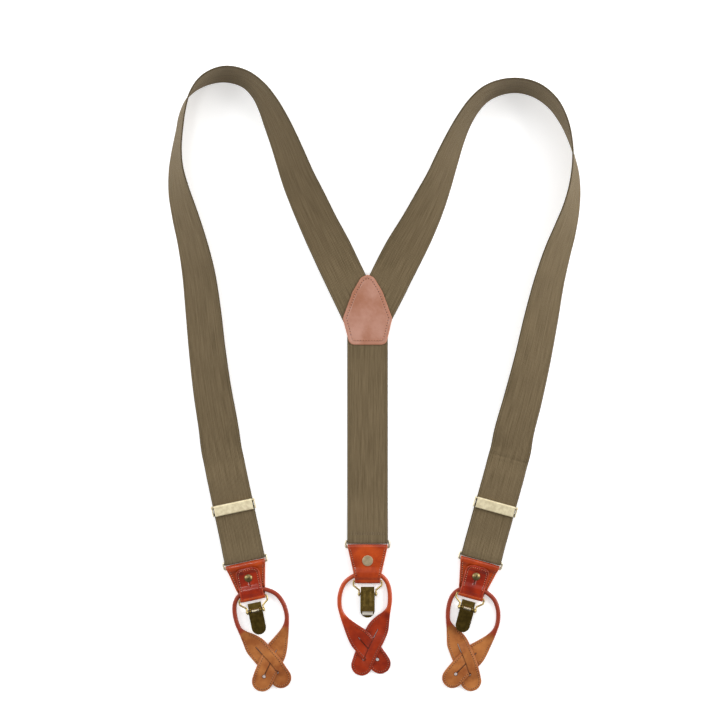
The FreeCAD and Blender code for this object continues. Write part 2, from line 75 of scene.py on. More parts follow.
# Middle line of each shoulder strap, from the patch to its straight lower run: (x, y, lift, bank).
LEFT_LINE = [
    (-10.6, 57.2, 1.4, 0), (-20.6, 78.1, 1.4, 0), (-28.9, 95.5, 1.4, 0), (-37.0, 112.5, 0.6, 9),
    (-45.8, 130.0, 0, 20), (-57.5, 155.3, 0, 28), (-65.2, 172.4, 0, 35), (-71.6, 189.4, 0, 41),
    (-78.0, 206.3, 0, 47), (-85.3, 223.4, 0, 53), (-91.8, 236.9, 0, 60), (-98.9, 247.8, 0, 66),
    (-109.9, 257.6, 0, 71), (-128.3, 262.2, 0, 75), (-146.5, 256.4, 0, 84), (-159.3, 243.4, 0, 97),
    (-164.2, 230.4, 0, 102), (-167.0, 214.3, 0, 104), (-169.4, 197.4, 0, 108), (-170.0, 180.4, 0, 115),
    (-167.9, 163.4, 0, 124), (-163.2, 144.0, 0, 132), (-156.5, 118.5, 0, 139), (-151.2, 92.0, 0, 147),
    (-147.4, 60.7, 0, 154), (-144.0, 26.4, 0, 158), (-139.7, -8.2, 0, 164), (-134.3, -42.0, 0, 173),
]
RIGHT_LINE = [
    (-1.3, 58.9, 1.4, 0), (9.0, 78.6, 1.4, 0), (17.3, 95.5, 1.4, 0), (25.9, 112.0, 0.6, 10),
    (35.6, 129.5, 0, 24), (48.0, 154.9, 0, 38), (55.3, 171.7, 0, 48), (61.8, 188.9, 0, 55),
    (68.6, 206.0, 0, 62), (76.9, 223.2, 0, 68), (85.4, 236.0, 0, 71), (95.0, 245.3, 0, 73),
    (107.6, 250.9, 0, 75), (121.5, 252.6, 0, 77), (138.0, 248.6, 0, 78), (152.0, 238.0, 0, 81),
    (162.0, 222.0, 0, 86), (167.4, 206.5, 0, 92), (170.3, 192.5, 0, 98), (171.6, 179.0, 0, 105),
    (171.0, 163.0, 0, 112), (168.0, 146.1, 0, 119), (163.2, 129.1, 0, 127), (157.2, 111.0, 0, 134),
    (150.3, 86.4, 0, 141), (142.9, 52.1, 0, 151), (135.8, 17.7, 0, 157), (127.6, -16.8, 0, 165),
    (119.6, -48.0, 0, 173),
]


# --- geometry helpers ---------------------------------------------------------------------------------------------
def rot_z(degrees):
    return Matrix.Rotation(math.radians(degrees), 3, "Z")


def end_matrix(end, loop=False):
    """From an end's own frame (outer side up, ring plane at z = 0, leather's top edge at y = 0) to the row frame.
    The button loop's frame has its height measured from the middle of the cord's channel, and its own turn."""
    x, y, turn, ring_z, inner_up, loop_turn = ENDS[end]
    m = Matrix.Rotation(math.pi, 3, "Y") if inner_up else Matrix.Identity(3)
    m4 = m.to_4x4()
    if loop:
        pivot = Matrix.Translation((0, CHANNEL_Y, 0))
        m4 = pivot @ rot_z(loop_turn).to_4x4() @ pivot.inverted() @ m4
    return Matrix.Translation((x, y, ring_z)) @ rot_z(turn).to_4x4() @ m4


def surface_matrix(end):
    """From an end's frame with the surface at z = 0 and no turning over."""
    x, y, turn = ENDS[end][:3]
    return Matrix.Translation((x, y, 0)) @ rot_z(turn).to_4x4()


def smooth(value, low, high):
    t = min(max((value - low) / (high - low), 0.0), 1.0)
    return t * t * (3 - 2 * t)


def rounded(points, radii, step=2.0, bend=12.0):
    """Samples (y, z, tangent y, tangent z) of straight runs joined by tangent arcs."""
    pts = [Vector(p) for p in points]
    out = []

    def add(p, t):
        if not out or (Vector(out[-1][:2]) - p).length > 0.02:
            out.append((p.x, p.y, t.x, t.y))

    here = pts[0]
    for i in range(1, len(pts)):
        into = (pts[i] - pts[i - 1]).normalized()
        last = i == len(pts) - 1
        if last:
            arc_start = pts[i]
        else:
            ahead = (pts[i + 1] - pts[i]).normalized()
            turn = into.angle(ahead)
            reach = radii[i - 1] * math.tan(turn / 2)
            arc_start = pts[i] - into * reach
        span = (arc_start - here).length
        count = max(1, math.ceil(span / step))
        for k in range(count + 1):
            add(here.lerp(arc_start, k / count), into)
        if last:
            break
        side = 1.0 if into.cross(ahead) > 0 else -1.0
        normal = Vector((-into.y, into.x)) * side
        centre = arc_start + normal * radii[i - 1]
        pieces = max(2, math.ceil(math.degrees(turn) / bend))
        for k in range(1, pieces + 1):
            a = side * turn * k / pieces
            spin = Matrix.Rotation(a, 2)
            add(centre + spin @ (arc_start - centre), spin @ into)
        here = centre + Matrix.Rotation(side * turn, 2) @ (arc_start - centre)
    return out


def new_object(name, mesh, materials, body=None, shaded_smooth=True):
    obj = bpy.data.objects.new(name, mesh)
    bpy.context.scene.collection.objects.link(obj)
    for m in materials if isinstance(materials, (list, tuple)) else [materials]:
        mesh.materials.append(m)
    if shaded_smooth:
        mesh.shade_smooth()
    if body:
        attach(obj, body)
    return obj


def mesh_from(name, verts, faces, uv=None, rim=None):
    """Mesh from millimetre points. uv is (across, along) in millimetres per vertex, rim the distance to the edge."""
    mesh = bpy.data.meshes.new(name)
    mesh.from_pydata([(x * MM, y * MM, z * MM) for x, y, z in verts], [], faces)
    if uv is not None:
        layer = mesh.uv_layers.new(name="cloth")
        for loop in mesh.loops:
            layer.data[loop.index].uv = uv[loop.vertex_index]
    if rim is not None:
        attribute = mesh.attributes.new("rim", "FLOAT", "POINT")
        attribute.data.foreach_set("value", np.array(rim, np.float32))
    mesh.validate()
    mesh.update()
    return mesh


def outward(mesh, merge=0.0):
    """Joins points closer than MERGE metres, and turns every face outwards."""
    bm = bmesh.new()
    bm.from_mesh(mesh)
    if merge:
        bmesh.ops.remove_doubles(bm, verts=bm.verts, dist=merge)
    bmesh.ops.recalc_face_normals(bm, faces=bm.faces)
    bm.to_mesh(mesh)
    bm.free()
    return mesh


def tube_faces(rows, count, first=0):
    """Quads between the rows of a closed section, and a cap on each end."""
    faces = []
    for i in range(rows - 1):
        for j in range(count):
            a, b = first + i * count + j, first + i * count + (j + 1) % count
            faces.append((a, b, b + count, a + count))
    last = first + (rows - 1) * count
    return faces + [tuple(range(first, first + count))[::-1], tuple(range(last, last + count))]


def prism(outline, low, high):
    """Corners and faces of a plan outline drawn up from LOW to HIGH."""
    n = len(outline)
    verts = [(x, y, z) for z in (low, high) for x, y in outline]
    faces = [tuple(range(n))[::-1], tuple(range(n, 2 * n))]
    return verts, faces + [(i, (i + 1) % n, n + (i + 1) % n, n + i) for i in range(n)]


def sweep(name, stations, section):
    """Closed strip. stations: (centre, across, up, half width, half thickness, along);
    section: closed loop of (across share, thickness share)."""
    verts, uv, rim = [], [], []
    for centre, across, up, half, thick, along in stations:
        for a, b in section:
            verts.append(tuple(centre + across * (half * a) + up * (thick * b)))
            uv.append((half * a, along))
            rim.append(half * (1 - abs(a)))
    return outward(mesh_from(name, verts, tube_faces(len(stations), len(section)), uv, rim))


def loop_section(shares, edge):
    """Both faces of a strip: the shares across with their thickness, joined by a rounded edge."""
    full = [(-a, b) for a, b in reversed(shares) if a > 0] + shares
    return full + [(1.0, edge), (1.0, -edge)] + [(a, -b) for a, b in reversed(full)] + [(-1.0, -edge), (-1.0, edge)]


WEB_SECTION = loop_section(
    [(0, 0.90), (0.15, 0.90), (0.3, 0.90), (0.45, 0.90), (0.6, 0.90), (0.74, 0.90), (0.86, 0.90), (0.905, 0.92),
     (0.93, 1.0), (0.96, 1.0), (0.985, 0.86)], 0.45)
LEATHER_SECTION = loop_section(
    [(0, 1.0), (0.2, 1.0), (0.4, 0.995), (0.6, 0.985), (0.74, 0.96), (0.82, 0.90), (0.865, 0.80), (0.90, 0.84),
     (0.94, 0.93), (0.97, 0.90), (0.99, 0.74)], 0.42)


def arc_lengths(points):
    total, out = 0.0, [0.0]
    for a, b in zip(points, points[1:]):
        total += (Vector(b) - Vector(a)).length
        out.append(total)
    return out


# --- materials ----------------------------------------------------------------------------------------------------
class Shader:
    """A Principled material built from short node calls. A socket given a node output is linked, else set."""

    def __init__(self, name, **sockets):
        self.material = bpy.data.materials.new(name)
        self.material.use_nodes = True
        self.tree = self.material.node_tree
        self.bsdf = self.tree.nodes["Principled BSDF"]
        self.set(self.bsdf, sockets)

    def set(self, node, sockets):
        for key, value in sockets.items():
            socket = node.inputs[key if isinstance(key, int) else key.replace("_", " ")]
            if isinstance(value, bpy.types.NodeSocket):
                self.tree.links.new(value, socket)
            else:
                socket.default_value = value

    def node(self, kind, inputs=(), **properties):
        node = self.tree.nodes.new("ShaderNode" + kind)
        for key, value in properties.items():
            setattr(node, key, value)
        self.set(node, dict(enumerate(inputs)) if isinstance(inputs, (list, tuple)) else inputs)
        return node

    def math(self, operation, a, b=0.0, clamp=False):
        return self.node("Math", [a, b], operation=operation, use_clamp=clamp).outputs[0]

    def mul(self, a, b):
        return self.math("MULTIPLY", a, b)

    def add(self, a, b, clamp=False):
        return self.math("ADD", a, b, clamp)

    def sub(self, a, b, clamp=False):
        return self.math("SUBTRACT", a, b, clamp)

    def mix(self, factor, a, b):
        node = self.node("Mix", {0: factor, 6: a, 7: b}, data_type="RGBA")
        return node.outputs[2]

    def ramp(self, value, low, high):
        """0 below LOW, 1 above HIGH, smooth between."""
        node = self.node("MapRange", [value, low, high, 0.0, 1.0], interpolation_type="SMOOTHSTEP")
        return node.outputs[0]

    def uv(self):
        coords = self.node("UVMap", uv_map="cloth").outputs[0]
        parts = self.node("SeparateXYZ", [coords])
        return parts.outputs[0], parts.outputs[1]

    def place(self, scale=(1, 1, 1)):
        coords = self.node("TexCoord").outputs["Object"]
        stretch = tuple(s / MM for s in scale)
        return self.node("VectorMath", {0: coords, 1: stretch}, operation="MULTIPLY").outputs[0]

    def noise(self, vector, scale, detail=3.0, rough=0.55):
        inputs = {"Vector": vector, "Scale": scale, "Detail": detail, "Roughness": rough}
        return self.node("TexNoise", inputs).outputs[0]

    def attribute(self, name):
        return self.node("Attribute", attribute_name=name).outputs["Fac"]

    def bump(self, height, strength, distance, previous=None):
        inputs = {"Strength": strength, "Distance": distance * MM, "Height": height}
        if previous is not None:
            inputs["Normal"] = previous
        return self.node("Bump", inputs).outputs[0]


def rgb(r, g, b):
    """Linear colour from 0-255 display values."""
    return tuple((c / 255 / 12.92) if c <= 10 else ((c / 255 + 0.055) / 1.055) ** 2.4 for c in (r, g, b)) + (1.0,)


RIB_PITCH = 1.06
WEFT_PITCH = 0.72


def webbing_material():
    """Elastic webbing: lengthwise ribs about 1 mm apart with painted shade in the valleys between them, fine weft
    across, darker corded selvages.
    """
    s = Shader("webbing", Roughness=0.78, Specular_IOR_Level=0.28, Sheen_Weight=0.22, Sheen_Roughness=0.45,
               Sheen_Tint=rgb(214, 200, 170))
    u, v = s.uv()

    def woven(per_u, per_v, shift, detail, rough=0.55):
        point = s.node("CombineXYZ", [s.mul(u, per_u), s.mul(v, per_v), shift]).outputs[0]
        return s.noise(point, 1.0, detail, rough)

    sway = s.mul(woven(0.6, 0.05, 0.0, 2.0), 0.5)
    across = s.add(u, sway)
    rib = s.math("ABSOLUTE", s.math("SINE", s.mul(across, math.pi / RIB_PITCH)))
    weft_phase = s.mul(v, 2 * math.pi / WEFT_PITCH)
    offset = s.mul(s.math("FLOOR", s.math("DIVIDE", across, RIB_PITCH)), math.pi)
    weft = s.math("SINE", s.add(weft_phase, offset))
    fibre = woven(3.2, 1.1, 0.0, 4.0, 0.7)
    streak = woven(0.9, 0.035, 3.0, 3.0, 0.6)
    side = s.math("ABSOLUTE", u)
    selvage = s.ramp(side, 15.6, 16.0)
    edge = s.ramp(side, 16.6, 17.1)
    line = s.mul(s.ramp(side, 14.9, 15.4), s.sub(1.0, s.ramp(side, 15.6, 16.1)))
    # the rib term darkens the colour between the ribs: painted shade in the grooves
    tone_and_groove_shade = s.add(s.mul(rib, 0.4), s.add(s.mul(fibre, 0.6), s.mul(streak, 1.3)))
    tone_and_groove_shade = s.sub(tone_and_groove_shade, 0.72, clamp=True)
    tone_and_groove_shade = s.add(tone_and_groove_shade, s.mul(weft, 0.07), clamp=True)
    base = s.mix(tone_and_groove_shade, rgb(77, 63, 38), rgb(126, 109, 81))
    base = s.mix(s.mul(selvage, 0.35), base, rgb(112, 98, 72))
    dark = s.math("MAXIMUM", s.mul(edge, 0.75), s.mul(line, 0.4))
    base = s.mix(dark, base, rgb(62, 50, 29))
    s.set(s.bsdf, {"Base Color": base})
    height = s.add(rib, s.add(s.mul(weft, 0.22), s.mul(fibre, 0.5)))
    s.set(s.bsdf, {"Normal": s.bump(height, 0.8, 0.22)})
    return s.material


def leather_material(name, light, dark, rough, coat, rim_colour, grain=0.09, seam=2.0, rim_share=0.7, mottle=0.045,
                     sheen=0.0, cord_colour=None):
    """Leather with pores, soft mottling, a pressed seam line and a burnished or worn edge; on button loops, painted
    shadow along the slit and keyhole.
    """
    s = Shader(name, Coat_Weight=coat, Coat_Roughness=0.12, Specular_IOR_Level=0.22, Sheen_Weight=sheen,
               Sheen_Roughness=0.5)
    where = s.place()
    blotch = s.noise(where, mottle * 2.2, 4.0, 0.6)
    cloud = s.noise(where, mottle, 2.0)
    pores = s.node("TexVoronoi", {"Vector": where, "Scale": 1.15, "Randomness": 1.0}, feature="SMOOTH_F1").outputs[0]
    fine = s.noise(where, 1.6, 5.0, 0.65)
    drawn_out = s.node("VectorMath", {0: where, 1: (0.25, 0.9, 0.6)}, operation="MULTIPLY").outputs[0]
    wrinkle = s.noise(drawn_out, 0.5, 4.0, 0.6)
    rim = s.attribute("rim")
    shade = s.add(s.mul(blotch, 0.9), s.mul(cloud, 0.8))
    shade = s.ramp(shade, 0.55, 1.15)
    colour = s.mix(shade, dark, light)
    speck = s.mul(s.ramp(fine, 0.55, 0.8), 0.18)
    colour = s.mix(speck, colour, light)
    near = s.sub(1.0, s.ramp(rim, 0.15, 1.1))
    colour = s.mix(s.mul(near, rim_share), colour, rim_colour)
    groove = s.sub(1.0, s.ramp(s.math("ABSOLUTE", s.sub(rim, seam)), 0.1, 0.75))
    colour = s.mix(s.mul(groove, 0.22), colour, tuple(c * 0.5 for c in dark[:3]) + (1.0,))
    if cord_colour is not None:
        opened = s.add(s.attribute("opened"), s.mul(s.sub(fine, 0.5), 0.35))
        folded = s.mul(s.sub(1.0, s.ramp(rim, 0.4, 3.2)), 0.45)
        colour = s.mix(s.ramp(s.sub(opened, folded), 0.12, 0.5), cord_colour, colour)
        # the leather goes nearly black next to the slit and keyhole: painted shadow of the cut's inner walls
        cut = s.sub(1.0, s.ramp(s.attribute("cut"), 0.15, 0.75))
        colour = s.mix(s.mul(cut, 0.85), colour, rgb(44, 14, 5))
    s.set(s.bsdf, {"Base Color": colour})
    roughness = s.add(rough, s.mul(s.sub(fine, 0.5), 0.25))
    roughness = s.add(roughness, s.mul(near, 0.12))
    s.set(s.bsdf, {"Roughness": roughness})
    height = s.add(s.mul(pores, 0.8), s.mul(fine, 0.7))
    normal = s.bump(height, 0.55, grain)
    normal = s.bump(wrinkle, 0.5, 0.35, normal)
    normal = s.bump(groove, 0.8, -0.22, normal)
    s.set(s.bsdf, {"Normal": normal})
    return s.material


def metal_material(name, bright, dark, rough, tarnish_and_shade_amount=0.8, wear=0.5, metallic=1.0):
    """Plated metal: bright rubbed edges, dark tarnish and painted shade in recesses, fine scratches."""
    s = Shader(name, Metallic=metallic)
    where = s.place()
    cloud = s.noise(where, 0.35, 4.0, 0.6)
    fine = s.noise(s.place((1.0, 0.12, 1.0)), 3.0, 3.0, 0.7)
    corner = s.node("Bevel", {"Radius": 0.5 * MM}, samples=4).outputs[0]
    flat = s.node("NewGeometry").outputs["Normal"]
    turn = s.node("VectorMath", {0: corner, 1: flat}, operation="DOT_PRODUCT").outputs["Value"]
    edge = s.sub(1.0, s.ramp(turn, 0.86, 0.995))
    # ambient occlusion darkens hollows and grooves: tarnish together with painted shade
    hollow = s.node("AmbientOcclusion", {"Distance": 2.2 * MM}, samples=6).outputs["AO"]
    tarnish_and_painted_shade = s.sub(1.0, s.ramp(hollow, 0.35, 0.95))
    shade = s.add(s.mul(s.ramp(cloud, 0.35, 0.68), 0.5), s.mul(fine, 0.3), clamp=True)
    colour = s.mix(shade, tuple(0.55 * b + 0.45 * d for b, d in zip(bright, dark)), bright)
    colour = s.mix(s.mul(tarnish_and_painted_shade, tarnish_and_shade_amount), colour, dark)
    rubbed = tuple(min(1.0, c * 1.5 + 0.06) for c in bright[:3]) + (1.0,)
    colour = s.mix(s.mul(edge, wear), colour, rubbed)
    s.set(s.bsdf, {"Base Color": colour})
    roughness = s.add(rough, s.mul(s.sub(cloud, 0.5), 0.3))
    roughness = s.add(roughness, s.mul(tarnish_and_painted_shade, 0.25))
    s.set(s.bsdf, {"Roughness": roughness, "Normal": s.bump(fine, 0.25, 0.03)})
    return s.material


def thread_material(name, light, dark):
    """Twisted waxed thread."""
    s = Shader(name, Roughness=0.62, Specular_IOR_Level=0.35, Sheen_Weight=0.2, Sheen_Roughness=0.4)
    fine = s.noise(s.place(), 3.5, 4.0, 0.7)
    s.set(s.bsdf, {"Base Color": s.mix(s.ramp(fine, 0.3, 0.7), dark, light), "Normal": s.bump(fine, 0.6, 0.06)})
    return s.material


WEBBING = webbing_material()
STRAP_LEATHER = leather_material("strap_leather", rgb(182, 70, 17), rgb(138, 40, 5), 0.3, 0.5,
                                 rim_colour=rgb(196, 118, 78), rim_share=0.3)
INNER_LEATHER = leather_material("inner_leather", rgb(162, 44, 6), rgb(116, 22, 3), 0.3, 0.5,
                                 rim_colour=rgb(196, 96, 60), rim_share=0.35)
BACK_LOOP = leather_material("back_loop_leather", rgb(160, 50, 12), rgb(112, 24, 4), 0.33, 0.4,
                             rim_colour=rgb(120, 40, 14), rim_share=0.45, cord_colour=rgb(176, 66, 22))
FRONT_LOOP = leather_material("front_loop_leather", rgb(178, 112, 57), rgb(132, 68, 24), 0.46, 0.1, grain=0.12,
                              rim_colour=rgb(150, 78, 40), rim_share=0.5, sheen=0.1,
                              cord_colour=rgb(138, 48, 22))
PATCH_LEATHER = leather_material("patch_leather", rgb(180, 135, 118), rgb(154, 102, 78), 0.42, 0.15, grain=0.07,
                                 rim_colour=rgb(186, 116, 82), rim_share=0.6, seam=PATCH_SEAM, mottle=0.03, sheen=0.15)
THREAD = thread_material("thread", rgb(226, 150, 112), rgb(184, 96, 58))
LOOP_THREAD = thread_material("loop_thread", rgb(196, 104, 64), rgb(150, 60, 28))
TAN_THREAD = thread_material("tan_thread", rgb(206, 140, 92), rgb(156, 92, 48))
PATCH_THREAD = thread_material("patch_thread", rgb(214, 150, 116), rgb(180, 108, 72))
WEB_THREAD = thread_material("web_thread", rgb(132, 116, 88), rgb(72, 60, 38))
# near-black blobs between stitches: painted shade of the needle holes, drawn with the thread shader
NEEDLE_HOLE_SHADE = thread_material("needle_hole_shade", rgb(46, 14, 5), rgb(26, 8, 3))
PALE_BRASS = metal_material("pale_brass", rgb(255, 244, 208), rgb(168, 142, 90), 0.38, 0.45, 0.3, metallic=0.5)
DARK_BRASS = metal_material("dark_brass", rgb(112, 92, 42), rgb(30, 22, 8), 0.34, 0.85, 0.7)
ANTIQUE = metal_material("antique_brass", rgb(150, 124, 62), rgb(40, 30, 12), 0.36, 0.85, 0.6)
STUD_METAL = metal_material("stud_brass", rgb(206, 186, 150), rgb(104, 84, 58), 0.42, 0.6, 0.4, metallic=0.7)
HEAD_METAL = metal_material("stud_head_brass", rgb(142, 124, 84), rgb(60, 48, 26), 0.34, 0.6, 0.3)
RING_METAL = metal_material("ring_metal", rgb(232, 222, 196), rgb(120, 104, 74), 0.28, 0.5, 0.3)
WIRE_METAL = metal_material("wire_metal", rgb(224, 200, 136), rgb(92, 72, 34), 0.28, 0.6, 0.4)
STEEL = metal_material("steel_wire", rgb(200, 200, 198), rgb(80, 78, 74), 0.28, 0.6, 0.3)
GRIP = Shader("grip", Roughness=0.3, Base_Color=rgb(196, 190, 178)).material


# --- stitches -----------------------------------------------------------------------------------------------------
def stitches(name, runs, pitch, length, radius, material, body, sink=0.0):
    """Rows of small rounded stitches with a dark blob between each two, painted shade standing for the needle hole.
    runs: lists of (point, outward normal) in the row frame, in millimetres."""
    verts, faces = [], []
    first_hole_shade = 0
    rings, sides = 5, 6
    wholes = [(run, 0.0, length, radius, 1.3) for run in runs]
    # the second set are dark blobs of painted shade where the needle holes are
    hole_shades = [(run, 0.5, pitch - length + 0.25, radius * 1.35, 0.75) for run in runs]
    for run, shift, length, radius, swell in wholes + hole_shades:
        if shift and not first_hole_shade:
            first_hole_shade = len(faces)
        points = [p for p, _ in run]
        lengths = arc_lengths(points)
        total = lengths[-1]
        count = max(1, int(total / pitch))
        start = (total - count * pitch) / 2 + pitch / 2
        for k in range(count):
            spot = start + (k + shift) * pitch
            if spot > total:
                continue
            ends = []
            for t in (spot - length / 2, spot + length / 2):
                i = min(max(int(np.searchsorted(lengths, t)) - 1, 0), len(points) - 2)
                f = (t - lengths[i]) / max(lengths[i + 1] - lengths[i], 1e-6)
                ends.append(points[i].lerp(points[i + 1], min(max(f, 0), 1)))
            i = min(max(int(np.searchsorted(lengths, spot)) - 1, 0), len(run) - 1)
            up = run[i][1]
            along = (ends[1] - ends[0]).normalized()
            across = along.cross(up).normalized()
            lift = across.cross(along).normalized()
            first = len(verts)
            for r in range(rings):
                f = r / (rings - 1)
                arch = math.sin(math.pi * f)
                wide = radius * (0.45 + 0.55 * arch)
                middle = ends[0].lerp(ends[1], f) + up * (radius * (swell * arch - 0.9) - sink)
                for q in range(sides):
                    a = 2 * math.pi * q / sides
                    verts.append(tuple(middle + across * (wide * math.cos(a)) + lift * (wide * 0.8 * math.sin(a))))
            faces += tube_faces(rings, sides, first)
    obj = new_object(name, mesh_from(name, verts, faces), [material, NEEDLE_HOLE_SHADE], body)
    for face in obj.data.polygons:
        face.material_index = int(face.index >= first_hole_shade)
    return obj


# --- webbing ------------------------------------------------------------------------------------------------------
def slope(before, here, after, channel):
    back = math.dist(before[:2], here[:2])
    ahead = math.dist(here[:2], after[:2])
    if back == 0 or ahead == 0:
        return (after[channel] - before[channel]) / (back + ahead)
    rate_back = (here[channel] - before[channel]) / back
    rate_ahead = (after[channel] - here[channel]) / ahead
    return (rate_back * ahead + rate_ahead * back) / (back + ahead)


def smooth_line(line, step=3.5):
    last = len(line) - 1
    slopes = [[slope(line[max(i - 1, 0)], p, line[min(i + 1, last)], k) for k in range(4)]
              for i, p in enumerate(line)]
    out = []
    for i in range(last):
        span = math.dist(line[i][:2], line[i + 1][:2])
        steps = math.ceil(span / step)
        for n in range(steps):
            t = n / steps
            value = [
                (2 * t**3 - 3 * t**2 + 1) * line[i][k] + (3 * t**2 - 2 * t**3) * line[i + 1][k]
                + span * ((t**3 - 2 * t**2 + t) * slopes[i][k] + (t**3 - t**2) * slopes[i + 1][k])
                for k in range(4)
            ]
            out.append((value[0], value[1], max(value[2], 0), min(max(value[3], 0), 180)))
    return out + [line[-1]]


def banked_frames(line, outer_side):
    """(centre, across, up) along a strap that banks and turns over."""
    frames = []
    for i, (x, y, lift, bank) in enumerate(line):
        before = line[max(i - 1, 0)]
        after = line[min(i + 1, len(line) - 1)]
        run = Vector((after[0] - before[0], after[1] - before[1], 0)).normalized()
        aside = Vector((run.y, -run.x, 0)) * outer_side
        angle = math.radians(bank)
        across = aside * math.cos(angle) + Vector((0, 0, math.sin(angle)))
        up = aside * -math.sin(angle) + Vector((0, 0, math.cos(angle)))
        height = lift + STRAP_WIDTH / 2 * math.sin(angle) + HALF_WEB * abs(math.cos(angle))
        frames.append((Vector((x, y, height)), across, up))
    return frames


def profile_frames(samples, matrix):
    """(centre, across, up) of a strip that bends in an end's YZ plane."""
    turn = matrix.to_3x3()
    return [(matrix @ Vector((0, y, z)), turn @ Vector((1, 0, 0)), turn @ Vector((0, -tz, ty)))
            for y, z, ty, tz in samples]


def web_piece(name, frames):
    lengths = arc_lengths([c for c, *_ in frames])
    stations = [(c, a, u, STRAP_WIDTH / 2, HALF_WEB, s) for (c, a, u), s in zip(frames, lengths)]
    return sweep(name, stations, WEB_SECTION)


def cut_at_patch(mesh, keep_left):
    """Ends a shoulder strap on the middle of the patch, where the two straps meet under the leather."""
    bm = bmesh.new()
    bm.from_mesh(mesh)
    cut = bmesh.ops.bisect_plane(
        bm, geom=bm.verts[:] + bm.edges[:] + bm.faces[:], plane_co=(PATCH_X * MM, 0, 0),
        plane_no=(1 if keep_left else -1, 0, 0), clear_outer=True)
    edges = [e for e in cut["geom_cut"] if isinstance(e, bmesh.types.BMEdge)]
    bmesh.ops.holes_fill(bm, edges=edges, sides=0)
    bmesh.ops.recalc_face_normals(bm, faces=bm.faces)
    bm.to_mesh(mesh)
    bm.free()


def shoulder_strap(side, line, outer_side):
    x, y, turn, ring_z = ENDS[side][:4]
    angle = math.radians(turn)
    straight = [(x - r * math.sin(angle), y + r * math.cos(angle), 0, 180)
                for r in (STRAIGHT_END_Y + 8, STRAIGHT_END_Y)]
    frames = banked_frames(smooth_line(line + straight), outer_side)[:-1]
    bar = RING_HALF_HEIGHT
    points = [
        (STRAIGHT_END_Y, HALF_WEB), (87.5, HALF_WEB), (76, RAISED_Z), (18, RAISED_Z), (bar + 3, ring_z + WEB_FOLD),
        (bar - WEB_FOLD - FOLD_SLACK, ring_z + WEB_FOLD), (bar - WEB_FOLD - FOLD_SLACK, ring_z - WEB_FOLD),
        (bar + 2, ring_z - WEB_FOLD)]
    samples = rounded(points, [10, 20, 20, 8, WEB_FOLD, WEB_FOLD], step=4.0)
    matrix = surface_matrix(side)
    lower = profile_frames(samples, matrix)
    if lower[0][1].dot(frames[-1][1]) < 0:
        lower = [(c, -a, -u) for c, a, u in lower]
    mesh = web_piece(f"{side}_shoulder_webbing", frames + lower)
    cut_at_patch(mesh, side == "left")
    obj = new_object(f"{side}_shoulder_webbing", mesh, WEBBING, "straps")
    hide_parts(f"{side}_strap")

    start = bar + 2
    low = ring_z - WEB_FOLD
    back = [(start + 0.02, low), (start + 2, low), (start + 10, HALF_WEB), (ADJUSTER_Y - 1.5, HALF_WEB)]
    frames = profile_frames(rounded(back, [6, 6], step=3.0), matrix)
    mesh = web_piece(f"{side}_return_webbing", frames)
    ret = new_object(f"{side}_return_webbing", mesh, WEBBING)
    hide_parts(f"{side}_return_run")
    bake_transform(ret)
    return obj, ret


left_web, left_return = shoulder_strap("left", LEFT_LINE, 1)
right_web, right_return = shoulder_strap("right", RIGHT_LINE, -1)


def back_strap():
    bar = RING_HALF_HEIGHT
    high, low = BACK_RING_Z + WEB_FOLD, BACK_RING_Z - WEB_FOLD
    patch = 1.4
    points = [
        (185.0, patch + HALF_WEB), (171.0, patch + HALF_WEB), (159.0, HALF_WEB), (36, HALF_WEB), (bar + 2.5, high),
        (bar - WEB_FOLD - FOLD_SLACK, high), (bar - WEB_FOLD - FOLD_SLACK, low), (bar + 1.5, low), (12, low + 0.7)]
    matrix = surface_matrix("back")
    samples = rounded(points, [15, 15, 40, 6, WEB_FOLD, WEB_FOLD, 3], step=3.0)
    mesh = web_piece("back_webbing", profile_frames(samples, matrix))
    obj = new_object("back_webbing", mesh, WEBBING, "straps")
    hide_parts("back_strap")
    row = []
    for y in (8.6, 9.8):
        z = high - (y - bar - 2.5) * (high - HALF_WEB) / (36 - bar - 2.5) + HALF_WEB * 0.9
        row.append([(matrix @ Vector((x, y, z)), Vector((0, 0, 1))) for x in np.linspace(-15.5, 15.5, 40)])
    seam = stitches("back_webbing_seam", row, 2.1, 1.5, 0.22, WEB_THREAD, "straps")


back_strap()


# --- patch --------------------------------------------------------------------------------------------------------
# corner: (x from the middle, y, corner radius, seam's inset on the side that follows)
PATCH_CORNERS = [(-15.4, 30.8, 6.0, 3.9), (16.0, 30.8, 6.0, 3.3), (21.4, 53.5, 5.0, 2.7), (12.9, 76.5, 14.0, 2.7),
                 (5.6, 88.9, 5.0, 2.9), (0.0, 91.4, 3.0, 2.9), (-5.6, 88.9, 5.0, 2.7), (-12.9, 76.5, 14.0, 2.7),
                 (-21.4, 53.5, 5.0, 3.3)]


def round_polygon(corners, step=0.8):
    """Points round a closed polygon (x, y, radius) with its corners rounded."""
    out = []
    n = len(corners)
    for i in range(n):
        p = Vector(corners[i][:2])
        a, b = Vector(corners[i - 1][:2]), Vector(corners[(i + 1) % n][:2])
        into, ahead = (p - a).normalized(), (b - p).normalized()
        turn = into.angle(ahead)
        reach = min(corners[i][2] * math.tan(turn / 2), 0.48 * (p - a).length, 0.48 * (b - p).length)
        start, finish = p - into * reach, p + ahead * reach
        pieces = max(2, math.ceil(2 * reach / step))
        for k in range(pieces + 1):
            t = k / pieces
            out.append(start * (1 - t) ** 2 + p * 2 * t * (1 - t) + finish * t**2)
        beyond = (Vector(corners[(i + 2) % n][:2]) - b).normalized()
        reach_next = corners[(i + 1) % n][2] * math.tan(ahead.angle(beyond) / 2)
        stop = b - ahead * min(reach_next, 0.48 * (b - p).length)
        count = int((stop - finish).length / step)
        out += [finish.lerp(stop, k / count) for k in range(1, count)]
    return out


